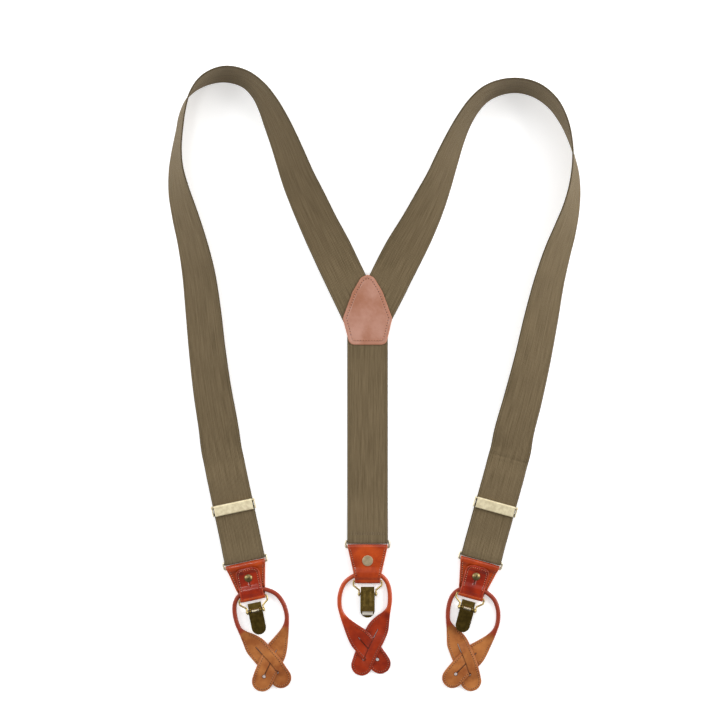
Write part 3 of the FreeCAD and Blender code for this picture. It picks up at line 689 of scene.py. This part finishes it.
def inset_corners(corners):
    """The polygon moved in by each side's own inset (the fourth number)."""
    n = len(corners)
    out = []
    for i in range(n):
        a, b, c = (Vector(corners[(i + k) % n][:2]) for k in (-1, 0, 1))
        d1, d2 = (b - a).normalized(), (c - b).normalized()
        p = a + Vector((-d1.y, d1.x)) * corners[i - 1][3]
        q = b + Vector((-d2.y, d2.x)) * corners[i][3]
        t = (q - p).cross(d2) / d1.cross(d2)
        out.append(((p + d1 * t).x, (p + d1 * t).y, corners[i][2]))
    return out


def patch_piece(name, low, thick, scale, material, top):
    outline = [Vector((PATCH_X + p.x * scale, PATCH_Y + (p.y - PATCH_Y) * scale))
               for p in round_polygon(PATCH_CORNERS)]
    ring = np.array([tuple(p) for p in outline])
    nxt = np.roll(ring, -1, axis=0)
    centre = Vector((PATCH_X, PATCH_Y - 3.0))

    def depth(x, y):
        p = np.array((x, y))
        d = nxt - ring
        t = np.clip(((p - ring) * d).sum(1) / (d * d).sum(1), 0, 1)
        return float(np.sqrt(((ring + d * t[:, None] - p) ** 2).sum(1).min()))

    shares = [1.0, 0.992, 0.98, 0.965, 0.945, 0.92, 0.9, 0.88, 0.86, 0.84, 0.82, 0.8, 0.77, 0.73, 0.66, 0.58, 0.5, 0.4,
              0.3, 0.2, 0.1]
    verts, rim = [], []
    n = len(outline)

    def height(x, y, d, up):
        edge = math.sqrt(max(0.0, 1 - (1 - min(d / 0.7, 1)) ** 2))
        mid = low + thick / 2
        if not up:
            return mid - thick / 2 * edge
        seam = math.exp(-(((d - PATCH_SEAM) / 0.6) ** 2))
        swell = 0.10 * min(d / 12, 1)
        wave = noise.noise(Vector((x / 9, y / 9, 1.7))) * 0.16 + noise.noise(Vector((x / 3.1, y / 5.2, 4.2))) * 0.05
        return mid + (thick / 2 - 0.1) * edge + (swell - 0.2 * seam + wave * min(d / 4, 1)) * (1 if top else 0)

    for up in (True, False):
        for f in shares:
            for p in outline:
                q = centre.lerp(p, f)
                d = 0.0 if f == 1.0 else depth(q.x, q.y)
                verts.append((q.x, q.y, height(q.x, q.y, d, up)))
                rim.append(d)
        d = depth(centre.x, centre.y)
        verts.append((centre.x, centre.y, height(centre.x, centre.y, d, up)))
        rim.append(d)
    faces = []
    per_side = len(shares) * n + 1
    for s in (0, 1):
        base = s * per_side
        for r in range(len(shares) - 1):
            for i in range(n):
                j = (i + 1) % n
                a, b = base + r * n + i, base + r * n + j
                faces.append((a, b, b + n, a + n))
        last = base + (len(shares) - 1) * n
        faces += [(last + i, last + (i + 1) % n, base + per_side - 1) for i in range(n)]
    faces += [(i, (i + 1) % n, per_side + (i + 1) % n, per_side + i) for i in range(n)]
    mesh = outward(mesh_from(name, verts, faces, None, rim), merge=0.02 * MM)
    obj = new_object(name, mesh, material, "straps")
    return obj, height


web_top = 2.76
outer_patch, patch_height = patch_piece("patch_outer_leather", web_top, 1.4, 1.0, PATCH_LEATHER, True)
inner_patch, _ = patch_piece("patch_inner_leather", 0.0, 1.38, 0.96, PATCH_LEATHER, False)
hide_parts("patch_outer")
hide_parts("patch_inner")
seam = [(Vector((PATCH_X + p.x, p.y, patch_height(PATCH_X + p.x, p.y, PATCH_SEAM, True))), Vector((0, 0, 1)))
        for p in round_polygon(inset_corners(PATCH_CORNERS))]
patch_seam = stitches("patch_seam", [seam + seam[:1]], 2.4, 1.35, 0.36, PATCH_THREAD, "straps", sink=0.05)


# --- leather ends -------------------------------------------------------------------------------------------------
RING_FOLD = 1.85
LOW_FOLD = 1.65
INNER_Z = 1.1 - 0.75 - 0.06
TONGUE_Z = INNER_Z - 1.5 - 0.06
FOLD_Y = -31.5
STUD_Y = -14.0
SLOT_HALF = 0.35           # the tongue's slit below the stud
SLOT_LENGTH = 7.5
CHANNEL_GAP = 0.2          # between the cord and the leather over and under it
SEAM_INSET = 2.0
TONGUE_HALF, TONGUE_CORNER, TONGUE_TOP = 10.25, 6.0, -4.8
PUFF = 0.4                 # rise of the outer layer between the stud and its side seams


def leather_half_width(y):
    top, low = 17.3, 11.0
    return top + (low - top) * min(max((-2 - y) / 28.0, 0), 1)


def tongue_half_width(y):
    into = y - (TONGUE_TOP - TONGUE_CORNER)
    if into <= 0:
        return TONGUE_HALF - 0.25 * math.exp(-((y + 24) / 4.0) ** 2)
    return TONGUE_HALF - TONGUE_CORNER + math.sqrt(max(TONGUE_CORNER**2 - into**2, 0.0))


def strip_stations(samples, matrix, half_width, thick=LEATHER_THICK / 2):
    frames = profile_frames(samples, matrix)
    lengths = arc_lengths([c for c, *_ in frames])
    return [(c, a, u, half_width(y), thick, s) for (c, a, u), (y, *_), s in zip(frames, samples, lengths)]


def cut_with(obj, cutter):
    """Boolean difference, applied."""
    modifier = obj.modifiers.new("cut", "BOOLEAN")
    modifier.object = cutter
    modifier.operation = "DIFFERENCE"
    modifier.solver = "EXACT"
    bpy.context.view_layer.update()
    cut = bpy.data.meshes.new_from_object(obj.evaluated_get(bpy.context.evaluated_depsgraph_get()))
    obj.modifiers.clear()
    old = obj.data
    obj.data = cut
    cut.name = old.name
    bpy.data.meshes.remove(old)
    bpy.data.objects.remove(cutter)


def plain(name, verts, faces):
    mesh = bpy.data.meshes.new(name)
    mesh.from_pydata([(x * MM, y * MM, z * MM) for x, y, z in verts], [], faces)
    obj = bpy.data.objects.new(name, outward(mesh))
    bpy.context.scene.collection.objects.link(obj)
    return obj


def leather_end(end):
    matrix = end_matrix(end)
    top = RING_FOLD - RING_HALF_HEIGHT + FOLD_SLACK
    foot = FOLD_Y - LOW_FOLD
    over = CHANNEL_Z + CORD_R + CHANNEL_GAP + LEATHER_THICK / 2
    under = CHANNEL_Z - CORD_R - CHANNEL_GAP - LEATHER_THICK / 2
    fold_end = FOLD_Y + 0.5
    layers = [
        (-23.4, INNER_Z), (-7.4, INNER_Z), (-4.2, -RING_FOLD), (top, -RING_FOLD), (top, RING_FOLD),
        (CHANNEL_Y + 6.5, RING_FOLD), (CHANNEL_Y + 2.0, over), (CHANNEL_Y - 2.0, over), (-30.4, LOW_FOLD),
        (foot, LOW_FOLD), (foot, -LOW_FOLD), (fold_end, -LOW_FOLD)]
    radii = [2, 1.5, RING_FOLD, RING_FOLD, 3, 2.6, 2.6, 1.4, LOW_FOLD, LOW_FOLD]
    samples = rounded(layers, radii, step=1.2, bend=14)
    body = sweep(f"{end}_leather_tab", strip_stations(samples, matrix, leather_half_width), LEATHER_SECTION)
    inverse = matrix.inverted()
    for v in body.vertices:
        place = inverse @ (v.co / MM)
        if place.z > 0 and FOLD_Y < place.y < -2:
            half = leather_half_width(place.y)
            window = smooth(-place.y, 2, 8) * (1 - smooth(-place.y, -CHANNEL_Y - 8, -CHANNEL_Y - 3))
            place.z += PUFF * math.sin(math.pi * min(abs(place.x) / half, 1)) ** 2 * window
            v.co = (matrix @ place) * MM
    hanger = new_object(f"{end}_leather_hanger", body, STRAP_LEATHER, f"{end}_leather")
    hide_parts(f"{end}_leather")

    tip_z = -RING_FOLD - LEATHER_THICK - 0.06
    line = [
        (fold_end, -LOW_FOLD), (-29.8, -LOW_FOLD), (CHANNEL_Y - 1.4, under), (CHANNEL_Y + 2.0, under),
        (-20.5, TONGUE_Z), (-10.0, TONGUE_Z), (-7.4, tip_z), (-4.8, tip_z)]
    samples = rounded(line, [1, 3, 3, 3, 1.5, 1.5], step=0.9)
    stations = strip_stations(samples, matrix, tongue_half_width)
    c, a, u, half, thick, s = stations[-1]
    stations[-1] = (c, a, u, half * 0.93, thick * 0.55, s)
    tongue = new_object(f"{end}_leather_tongue", sweep(f"{end}_tongue", stations, LEATHER_SECTION), INNER_LEATHER)
    foot_y = STUD_Y - SLOT_LENGTH
    corners = ((-SLOT_HALF, foot_y), (SLOT_HALF, foot_y), (SLOT_HALF, STUD_Y), (-SLOT_HALF, STUD_Y))
    slit_verts, slit_faces = prism(corners, -9, 0)
    cut_with(tongue, plain("slit", [tuple(matrix @ Vector(p)) for p in slit_verts], slit_faces))
    tongue.data.shade_smooth()
    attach(tongue, f"{end}_leather")

    def seam(y0, y1, level, side, up=1):
        run = []
        for y in np.linspace(y0, y1, 30):
            point = matrix @ Vector((side * (leather_half_width(y) - SEAM_INSET), y, level(y)))
            run.append((point, (matrix.to_3x3() @ Vector((0, 0, up))).normalized()))
        return run

    def outer_level(y):
        rise = max(0.0, min(1.0, (-19.7 - y) / 4.5))
        return RING_FOLD + 0.75 + rise * (over - RING_FOLD) - 0.1

    def inner_level(y):
        rise = max(0.0, min(1.0, (-4.2 - y) / 3.2))
        return -RING_FOLD + rise * (INNER_Z + RING_FOLD) - 0.72

    outer = [seam(-3.4, -27.0, outer_level, side) for side in (-1, 1)]
    inner = [seam(-4.6, -21.5, inner_level, side, up=-1) for side in (-1, 1)]
    edge = [(TONGUE_HALF - SEAM_INSET, y) for y in np.linspace(-25.0, -10.8, 16)]
    for k in range(1, 12):
        a = math.pi / 2 * k / 12
        edge.append((TONGUE_HALF - TONGUE_CORNER + 4 * math.cos(a), -10.8 + 4 * math.sin(a)))
    ring = edge + [(0.0, -6.8)] + [(-x, y) for x, y in reversed(edge)]

    def tongue_z(y):
        for (y0, z0), (y1, z1) in zip(line, line[1:]):
            if y0 <= y <= y1:
                return z0 + (z1 - z0) * (y - y0) / (y1 - y0) - 0.7
        return tip_z - 0.7

    down = (matrix.to_3x3() @ Vector((0, 0, -1))).normalized()
    around = [(matrix @ Vector((x, y, tongue_z(y))), down) for x, y in ring]
    sewn = stitches(f"{end}_leather_seam", outer + inner, 1.95, 1.1, 0.33, THREAD, f"{end}_leather")
    rim = stitches(f"{end}_tongue_seam", [around], 1.95, 1.1, 0.33, THREAD, f"{end}_leather")


# --- button loops -------------------------------------------------------------------------------------------------
# In the end's frame, outer side up. P passes through S's buttonhole: over S's left half and under its right half.
P_LINE = [(0, -26.2), (-8.0, -26.2), (-14.1, -28.6), (-20.3, -34.3), (-23.7, -43.0), (-24.2, -52.0), (-22.6, -59.0),
          (-19.2, -65.6), (-14.0, -72.8), (-7.7, -80.6), (0.2, -89.8), (7.2, -98.0), (11.3, -104.0), (15.0, -111.2)]
S_LINE = [(0, -26.2), (8.0, -26.2), (12.6, -27.8), (16.8, -33.0), (18.9, -40.3), (19.3, -48.2), (18.4, -55.0),
          (15.6, -61.2), (12.2, -67.2), (8.6, -74.2), (4.6, -82.0), (0.4, -90.4), (-2.9, -98.6), (-5.0, -104.6),
          (-7.8, -113.3)]
TAB_HALF = 9.1
TAB_HALF_THICK = 0.92
CORD_R = 1.9
TAB_SECTION = [(1.0, 0.0), (0.99, 0.5), (0.965, 0.85), (0.92, 1.0), (0.83, 1.0), (0.72, 1.0), (0.55, 1.0), (0.3, 1.0),
               (0.0, 1.0)]


def spline(points, step=1.2):
    """Evenly spaced samples of a smooth curve through the points."""
    pts = [Vector(p) for p in points]
    pts = [pts[0] * 2 - pts[1]] + pts + [pts[-1] * 2 - pts[-2]]
    dense = []
    for i in range(1, len(pts) - 2):
        a, b, c, d = pts[i - 1:i + 3]
        for k in range(24):
            t = k / 24
            dense.append(0.5 * ((2 * b) + (c - a) * t + (2 * a - 5 * b + 4 * c - d) * t * t
                                + (3 * b - a - 3 * c + d) * t**3))
    dense.append(pts[-2])
    lengths = arc_lengths(dense)
    count = round(lengths[-1] / step)
    out = []
    for k in range(count + 1):
        s = lengths[-1] * k / count
        i = min(max(int(np.searchsorted(lengths, s)) - 1, 0), len(dense) - 2)
        f = (s - lengths[i]) / (lengths[i + 1] - lengths[i])
        out.append(dense[i].lerp(dense[i + 1], f))
    return out, lengths[-1]


class Strip:
    """One half of a button loop: the rolled cord from the channel, opening into a flat tab with a keyhole."""

    def __init__(self, points, neck, opening):
        self.points, self.length = spline(points)
        self.neck = neck
        self.opening = opening
        self.tangents = []
        last = len(self.points) - 1
        for i in range(last + 1):
            d = self.points[min(i + 1, last)] - self.points[max(i - 1, 0)]
            self.tangents.append(d.normalized())

    def at(self, s):
        f = min(max(s / self.length, 0), 1) * (len(self.points) - 1)
        i = min(int(f), len(self.points) - 2)
        t = f - i
        return self.points[i].lerp(self.points[i + 1], t), self.tangents[i].lerp(self.tangents[i + 1], t).normalized()

    def half(self, s):
        wide = CORD_R + (TAB_HALF - CORD_R) * smooth(s, self.neck, self.neck + self.opening)
        wide += 0.5 * smooth(s, self.neck + 16, self.neck + 34) * (1 - smooth(s, self.length - 26, self.length - 10))
        left = self.length - s
        if left < TAB_HALF:
            wide = min(wide, math.sqrt(max(TAB_HALF**2 - (TAB_HALF - left) ** 2, 0.05)))
        return wide

    def flat(self, s):
        return smooth(s, self.neck - 1, self.neck + 0.6 * self.opening)

    def thick(self, s):
        thick = CORD_R + (TAB_HALF_THICK - CORD_R) * self.flat(s)
        left = self.length - s
        return thick * math.sqrt(max(1 - (1 - min(left / 0.9, 1)) ** 2, 0.03))

    def offset(self, x, y):
        """Distance along the strip and to the right of it (seen with the run pointing away) of a plan point."""
        p = Vector((x, y))
        best = min(range(len(self.points)), key=lambda i: (self.points[i] - p).length_squared)
        s = best * self.length / (len(self.points) - 1)
        t = self.tangents[best]
        d = p - self.points[best]
        return s + d.dot(t), d.dot(Vector((-t.y, t.x)))


P = Strip(P_LINE, 46.0, 34.0)
S = Strip(S_LINE, 40.0, 24.0)
S_CROSS = S.offset(0.3, -89.9)[0]


TAB_LOW = 0.95             # middle of a tab over the surface, lying on it
TAB_HIGH = 2.91            # and lying on the other tab
TAB_MIDDLE = (TAB_LOW + TAB_HIGH) / 2
TAB_STEP = (TAB_HIGH - TAB_LOW) / 2
TABS_TOP = 2 * TAB_MIDDLE
CORD_LOW = CORD_R + 0.1
KEYHOLE = {"p": (38.5, 13.2), "s": (43.0, 15.0)}    # from a tab's tip back to the slit's far end, and to its hole
KEYHOLE_R = 1.35
SLIT_HALF = 0.14


# Both levels are called alike: s and w along and across the strip, x and y in plan. Each uses the pair it needs.
def s_level(s, w, x, y, rest):
    """Height of strip S's middle: its left half lies under P, its right half over it."""
    spread = smooth(s, S_CROSS - 20, S_CROSS - 9) * (1 - smooth(s, S_CROSS + 9, S_CROSS + 17))
    return rest + (TAB_MIDDLE + TAB_STEP * math.tanh(w / 0.25) - rest) * spread


def p_level(s, w, x, y, rest):
    """Height of strip P's middle: it lies on S's left half, and slopes down under its right half."""
    s_on_s, w_on_s = S.offset(x, y)
    near = smooth(s_on_s, S_CROSS - 26, S_CROSS - 12) * (1 - smooth(s_on_s, S_CROSS + 14, S_CROSS + 24))
    return rest + (TAB_MIDDLE - TAB_STEP * math.tanh(w_on_s / 3.4) - rest) * near


def loop_point(strip, s, w, h, level, rest, channel):
    """A flat-strip point (s along, w across, h up) in the loop's frame. Heights are over the surface."""
    c, t = strip.at(s)
    p = c + Vector((-t.y, t.x)) * w
    cord = CORD_LOW if rest == TAB_LOW else TABS_TOP - CORD_LOW
    cord += (channel - cord) * (1 - smooth(s, 6.0, 27.0))
    tabbed = smooth(s, strip.neck - 4, strip.neck + 0.6 * strip.opening)
    return p.x, p.y, cord * (1 - tabbed) + level(s, w, p.x, p.y, rest) * tabbed + h


def loop_half(name, strip, level, rest, channel, slit, hole):
    """Flat grid with its keyhole cut out, then bent to its place; z is the height over the surface."""
    sections = []
    s = 0.0
    while s < strip.length - 0.05:
        sections.append(s)
        s += 1.3 if s < strip.length - TAB_HALF - 1 else max(0.12, 0.22 * math.sqrt(strip.length - s))
    sections.append(strip.length - 0.02)
    half_loop = [(-a, b) for a, b in TAB_SECTION[:-1]] + [(a, b) for a, b in reversed(TAB_SECTION)]
    count_top = len(half_loop)
    ring = half_loop + [(a, -b) for a, b in reversed(half_loop[1:-1])]
    verts = []
    for s in sections:
        flat = strip.flat(s)
        for j, (a, b) in enumerate(ring):
            angle = math.pi * (1 - j / (count_top - 1))
            if j >= count_top:
                angle = -math.pi * (j - count_top + 1) / (count_top - 1)
            x = math.cos(angle) * (1 - flat) + a * flat
            z = math.sin(angle) * (1 - flat) + b * flat
            verts.append((x * strip.half(s), s, z * strip.thick(s)))
    obj = plain(name, verts, tube_faces(len(sections), len(ring)))

    outline = [(-SLIT_HALF, slit), (SLIT_HALF, slit)]
    steps = max(2, int((hole - slit) / 1.3))
    outline += [(SLIT_HALF, slit + (hole - KEYHOLE_R - slit) * k / steps) for k in range(1, steps)]
    start = math.asin(SLIT_HALF / KEYHOLE_R)
    for k in range(13):
        a = start + (2 * math.pi - 2 * start) * k / 12
        outline.append((KEYHOLE_R * math.sin(a), hole - KEYHOLE_R * math.cos(a)))
    outline += [(-SLIT_HALF, slit + (hole - KEYHOLE_R - slit) * k / steps) for k in range(steps - 1, 0, -1)]
    cut_with(obj, plain("keyhole", *prism(outline, -4, 4)))

    mesh = obj.data
    bm = bmesh.new()
    bm.from_mesh(mesh)
    bmesh.ops.triangulate(bm, faces=[f for f in bm.faces if len(f.verts) > 4])
    bm.to_mesh(mesh)
    bm.free()
    rim, opened, cut = [], [], []
    for v in mesh.vertices:
        w, s, h = (c / MM for c in v.co)
        left = strip.length - s
        to_side = strip.half(s) - abs(w)
        if left < TAB_HALF:
            to_side = TAB_HALF - math.hypot(w, TAB_HALF - left)
        tab = smooth(s, strip.neck + 2, strip.neck + 0.6 * strip.opening)
        rim.append(max(to_side, 0) + 3.0 * (1 - tab))
        opened.append(smooth(s, strip.neck + 1, strip.neck + 0.6 * strip.opening))
        # cut: distance to the slit and keyhole, where the shader paints their shadow
        cut.append(min(math.hypot(w, max(slit - s, s - hole, 0)), abs(math.hypot(w, s - hole) - KEYHOLE_R)))
        v.co = Vector(loop_point(strip, s, w, h, level, rest, channel)) * MM
    for key, values in (("rim", rim), ("opened", opened), ("cut", cut)):
        mesh.attributes.new(key, "FLOAT", "POINT").data.foreach_set("value", np.array(values, np.float32))
    mesh.update()
    return obj


def seam_line(strip, inset=SEAM_INSET):
    """(s, w) points of a tab's seam: down one side, round the end and up the other."""
    points = []
    first = strip.neck + 0.45 * strip.opening
    for s in np.arange(first, strip.length - TAB_HALF, 1.0):
        points.append((s, strip.half(s) - inset))
    for k in range(0, 25):
        a = math.pi / 2 - math.pi * k / 24
        points.append((strip.length - TAB_HALF + (TAB_HALF - inset) * math.cos(a), (TAB_HALF - inset) * math.sin(a)))
    for s in np.arange(strip.length - TAB_HALF, first, -1.0):
        points.append((s, -(strip.half(s) - inset)))
    return points


def button_loop(end):
    ring_z, inner_up = ENDS[end][3:5]
    rest = TAB_HIGH if inner_up else TAB_LOW
    matrix = end_matrix(end, loop=True)
    # heights over the surface; an end that lies inner side up is turned over about the middle of its two layers
    lift = Matrix.Translation((0, 0, ring_z - TABS_TOP if inner_up else -ring_z))
    to_row = matrix @ lift
    channel = TABS_TOP - (ring_z - CHANNEL_Z) if inner_up else ring_z + CHANNEL_Z
    for label, strip, level in (("p", P, p_level), ("s", S, s_level)):
        slit, hole = (strip.length - back for back in KEYHOLE[label])
        obj = loop_half(f"{end}_loop_{label}", strip, level, rest, channel, slit, hole)
        obj.data.transform(Matrix.Scale(MM, 4) @ to_row @ Matrix.Scale(1 / MM, 4))
        if to_row.to_3x3().determinant() < 0:
            obj.data.flip_normals()
        obj.data.materials.clear()
        obj.data.materials.append(FRONT_LOOP if inner_up else BACK_LOOP)
        obj.data.shade_smooth()
        obj.data.set_sharp_from_angle(angle=math.radians(50))
        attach(obj, f"{end}_loop")
    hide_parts(f"{end}_under_tab", f"{end}_loop_cord")
    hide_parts(f"{end}_over_tab")
    runs = []
    for strip, level in ((P, p_level), (S, s_level)):
        for face in (1, -1):
            run = []
            for s, w in seam_line(strip):
                point = Vector(loop_point(strip, s, w, face * TAB_HALF_THICK, level, rest, channel))
                run.append((to_row @ point, (to_row.to_3x3() @ Vector((0, 0, face))).normalized()))
            runs.append(run)
    thread = TAN_THREAD if inner_up else LOOP_THREAD
    sewn = stitches(f"{end}_loop_seam", runs, 1.95, 1.15, 0.28, thread, f"{end}_loop")


for end in ENDS:
    leather_end(end)
    button_loop(end)


# --- metal pieces keep their CAD shape, with rounded edges ---------------------------------------------------------
METALS = {"ring": RING_METAL, "stud_base": STUD_METAL, "stud_head": HEAD_METAL, "clip_hanger": WIRE_METAL,
          "clip_body": DARK_BRASS, "clip_lever": ANTIQUE, "clip_pin": ANTIQUE, "clip_spring": STEEL, "grip_pad": GRIP,
          "adjuster_frame": PALE_BRASS, "adjuster_pivot": PALE_BRASS, "adjuster_plate": PALE_BRASS}
ROUND_WIRE = ("ring", "clip_hanger", "clip_spring", "clip_pin", "adjuster_pivot")
for name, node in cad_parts.items():
    kind = next((k for k in METALS if name.endswith(k)), None)
    if kind is None:
        continue
    node.data.materials.clear()
    node.data.materials.append(METALS[kind])
    weld = node.modifiers.new("weld", "WELD")
    weld.merge_threshold = 0.002 * MM
    if kind not in ROUND_WIRE:
        bevel = node.modifiers.new("edges", "BEVEL")
        bevel.width = 0.14 * MM
        bevel.segments = 2
        bevel.limit_method = "ANGLE"
        bevel.angle_limit = math.radians(38)
        bevel.harden_normals = False
    node.modifiers.new("normals", "WEIGHTED_NORMAL").keep_sharp = False


# --- floor, light, camera -----------------------------------------------------------------------------------------
floor_shader = Shader("floor", Roughness=0.9, Specular_IOR_Level=0.1, Emission_Color=(1, 1, 1, 1),
                      Emission_Strength=0.36)
grain = floor_shader.noise(floor_shader.place(), 0.02, 2.0)
paper = floor_shader.mix(grain, (0.93, 0.93, 0.93, 1), (0.95, 0.95, 0.95, 1))
floor_shader.set(floor_shader.bsdf, {"Base Color": paper})
floor_mesh = bpy.data.meshes.new("floor")
floor_mesh.from_pydata([(-6, -6, -0.0004), (6, -6, -0.0004), (6, 6, -0.0004), (-6, 6, -0.0004)], [], [(0, 1, 2, 3)])
floor = new_object("floor", floor_mesh, floor_shader.material, shaded_smooth=False)

world = bpy.data.worlds.new("studio")
bpy.context.scene.world = world
world.use_nodes = True
tree = world.node_tree
toward = tree.nodes.new("ShaderNodeSeparateXYZ")
tree.links.new(tree.nodes.new("ShaderNodeTexCoord").outputs["Generated"], toward.inputs[0])


def sky_ramp(axis, values):
    """Smooth change of brightness with direction; values: from, to, brightness there and there."""
    node = tree.nodes.new("ShaderNodeMapRange")
    node.interpolation_type = "SMOOTHSTEP"
    for socket, value in enumerate(values, 1):
        node.inputs[socket].default_value = value
    tree.links.new(toward.outputs[axis], node.inputs[0])
    return node.outputs[0]


strength = tree.nodes.new("ShaderNodeMath")
strength.operation = "MULTIPLY"
tree.links.new(sky_ramp(2, (0.80, 0.97, 0.85, 0.22)), strength.inputs[0])
tree.links.new(sky_ramp(1, (-0.7, 0.1, 0.4, 1.0)), strength.inputs[1])
tree.nodes["Background"].inputs["Color"].default_value = (1.0, 1.0, 1.0, 1.0)
tree.links.new(strength.outputs[0], tree.nodes["Background"].inputs["Strength"])


def softbox(name, place, target, width, height, power):
    light = bpy.data.lights.new(name, "AREA")
    light.shape = "RECTANGLE"
    light.size, light.size_y = width, height
    light.energy = power
    obj = bpy.data.objects.new(name, light)
    bpy.context.scene.collection.objects.link(obj)
    obj.location = place
    obj.rotation_euler = (Vector(target) - Vector(place)).to_track_quat("-Z", "Y").to_euler()


softbox("right", (1.25, 0.25, 0.75), (0, 0, 0), 0.8, 0.7, 13.5)
softbox("left", (-1.25, 0.25, 0.8), (0, 0, 0), 0.8, 0.7, 8.0)
softbox("north", (0.25, 1.25, 1.1), (0, 0, 0), 1.0, 0.6, 3.5)
softbox("high", (-0.42, 0.30, 1.5), (0, -0.15, 0), 0.26, 0.26, 2.6)

camera = bpy.data.objects.new("camera", bpy.data.cameras.new("camera"))
bpy.context.scene.collection.objects.link(camera)
camera.location = (-0.0125, 0.0177, 1.8)
camera.data.lens = 104.2
camera.data.sensor_width = 36.0
camera.data.clip_start = 0.05
bpy.context.scene.camera = camera
bpy.context.scene.view_settings.view_transform = "Standard"
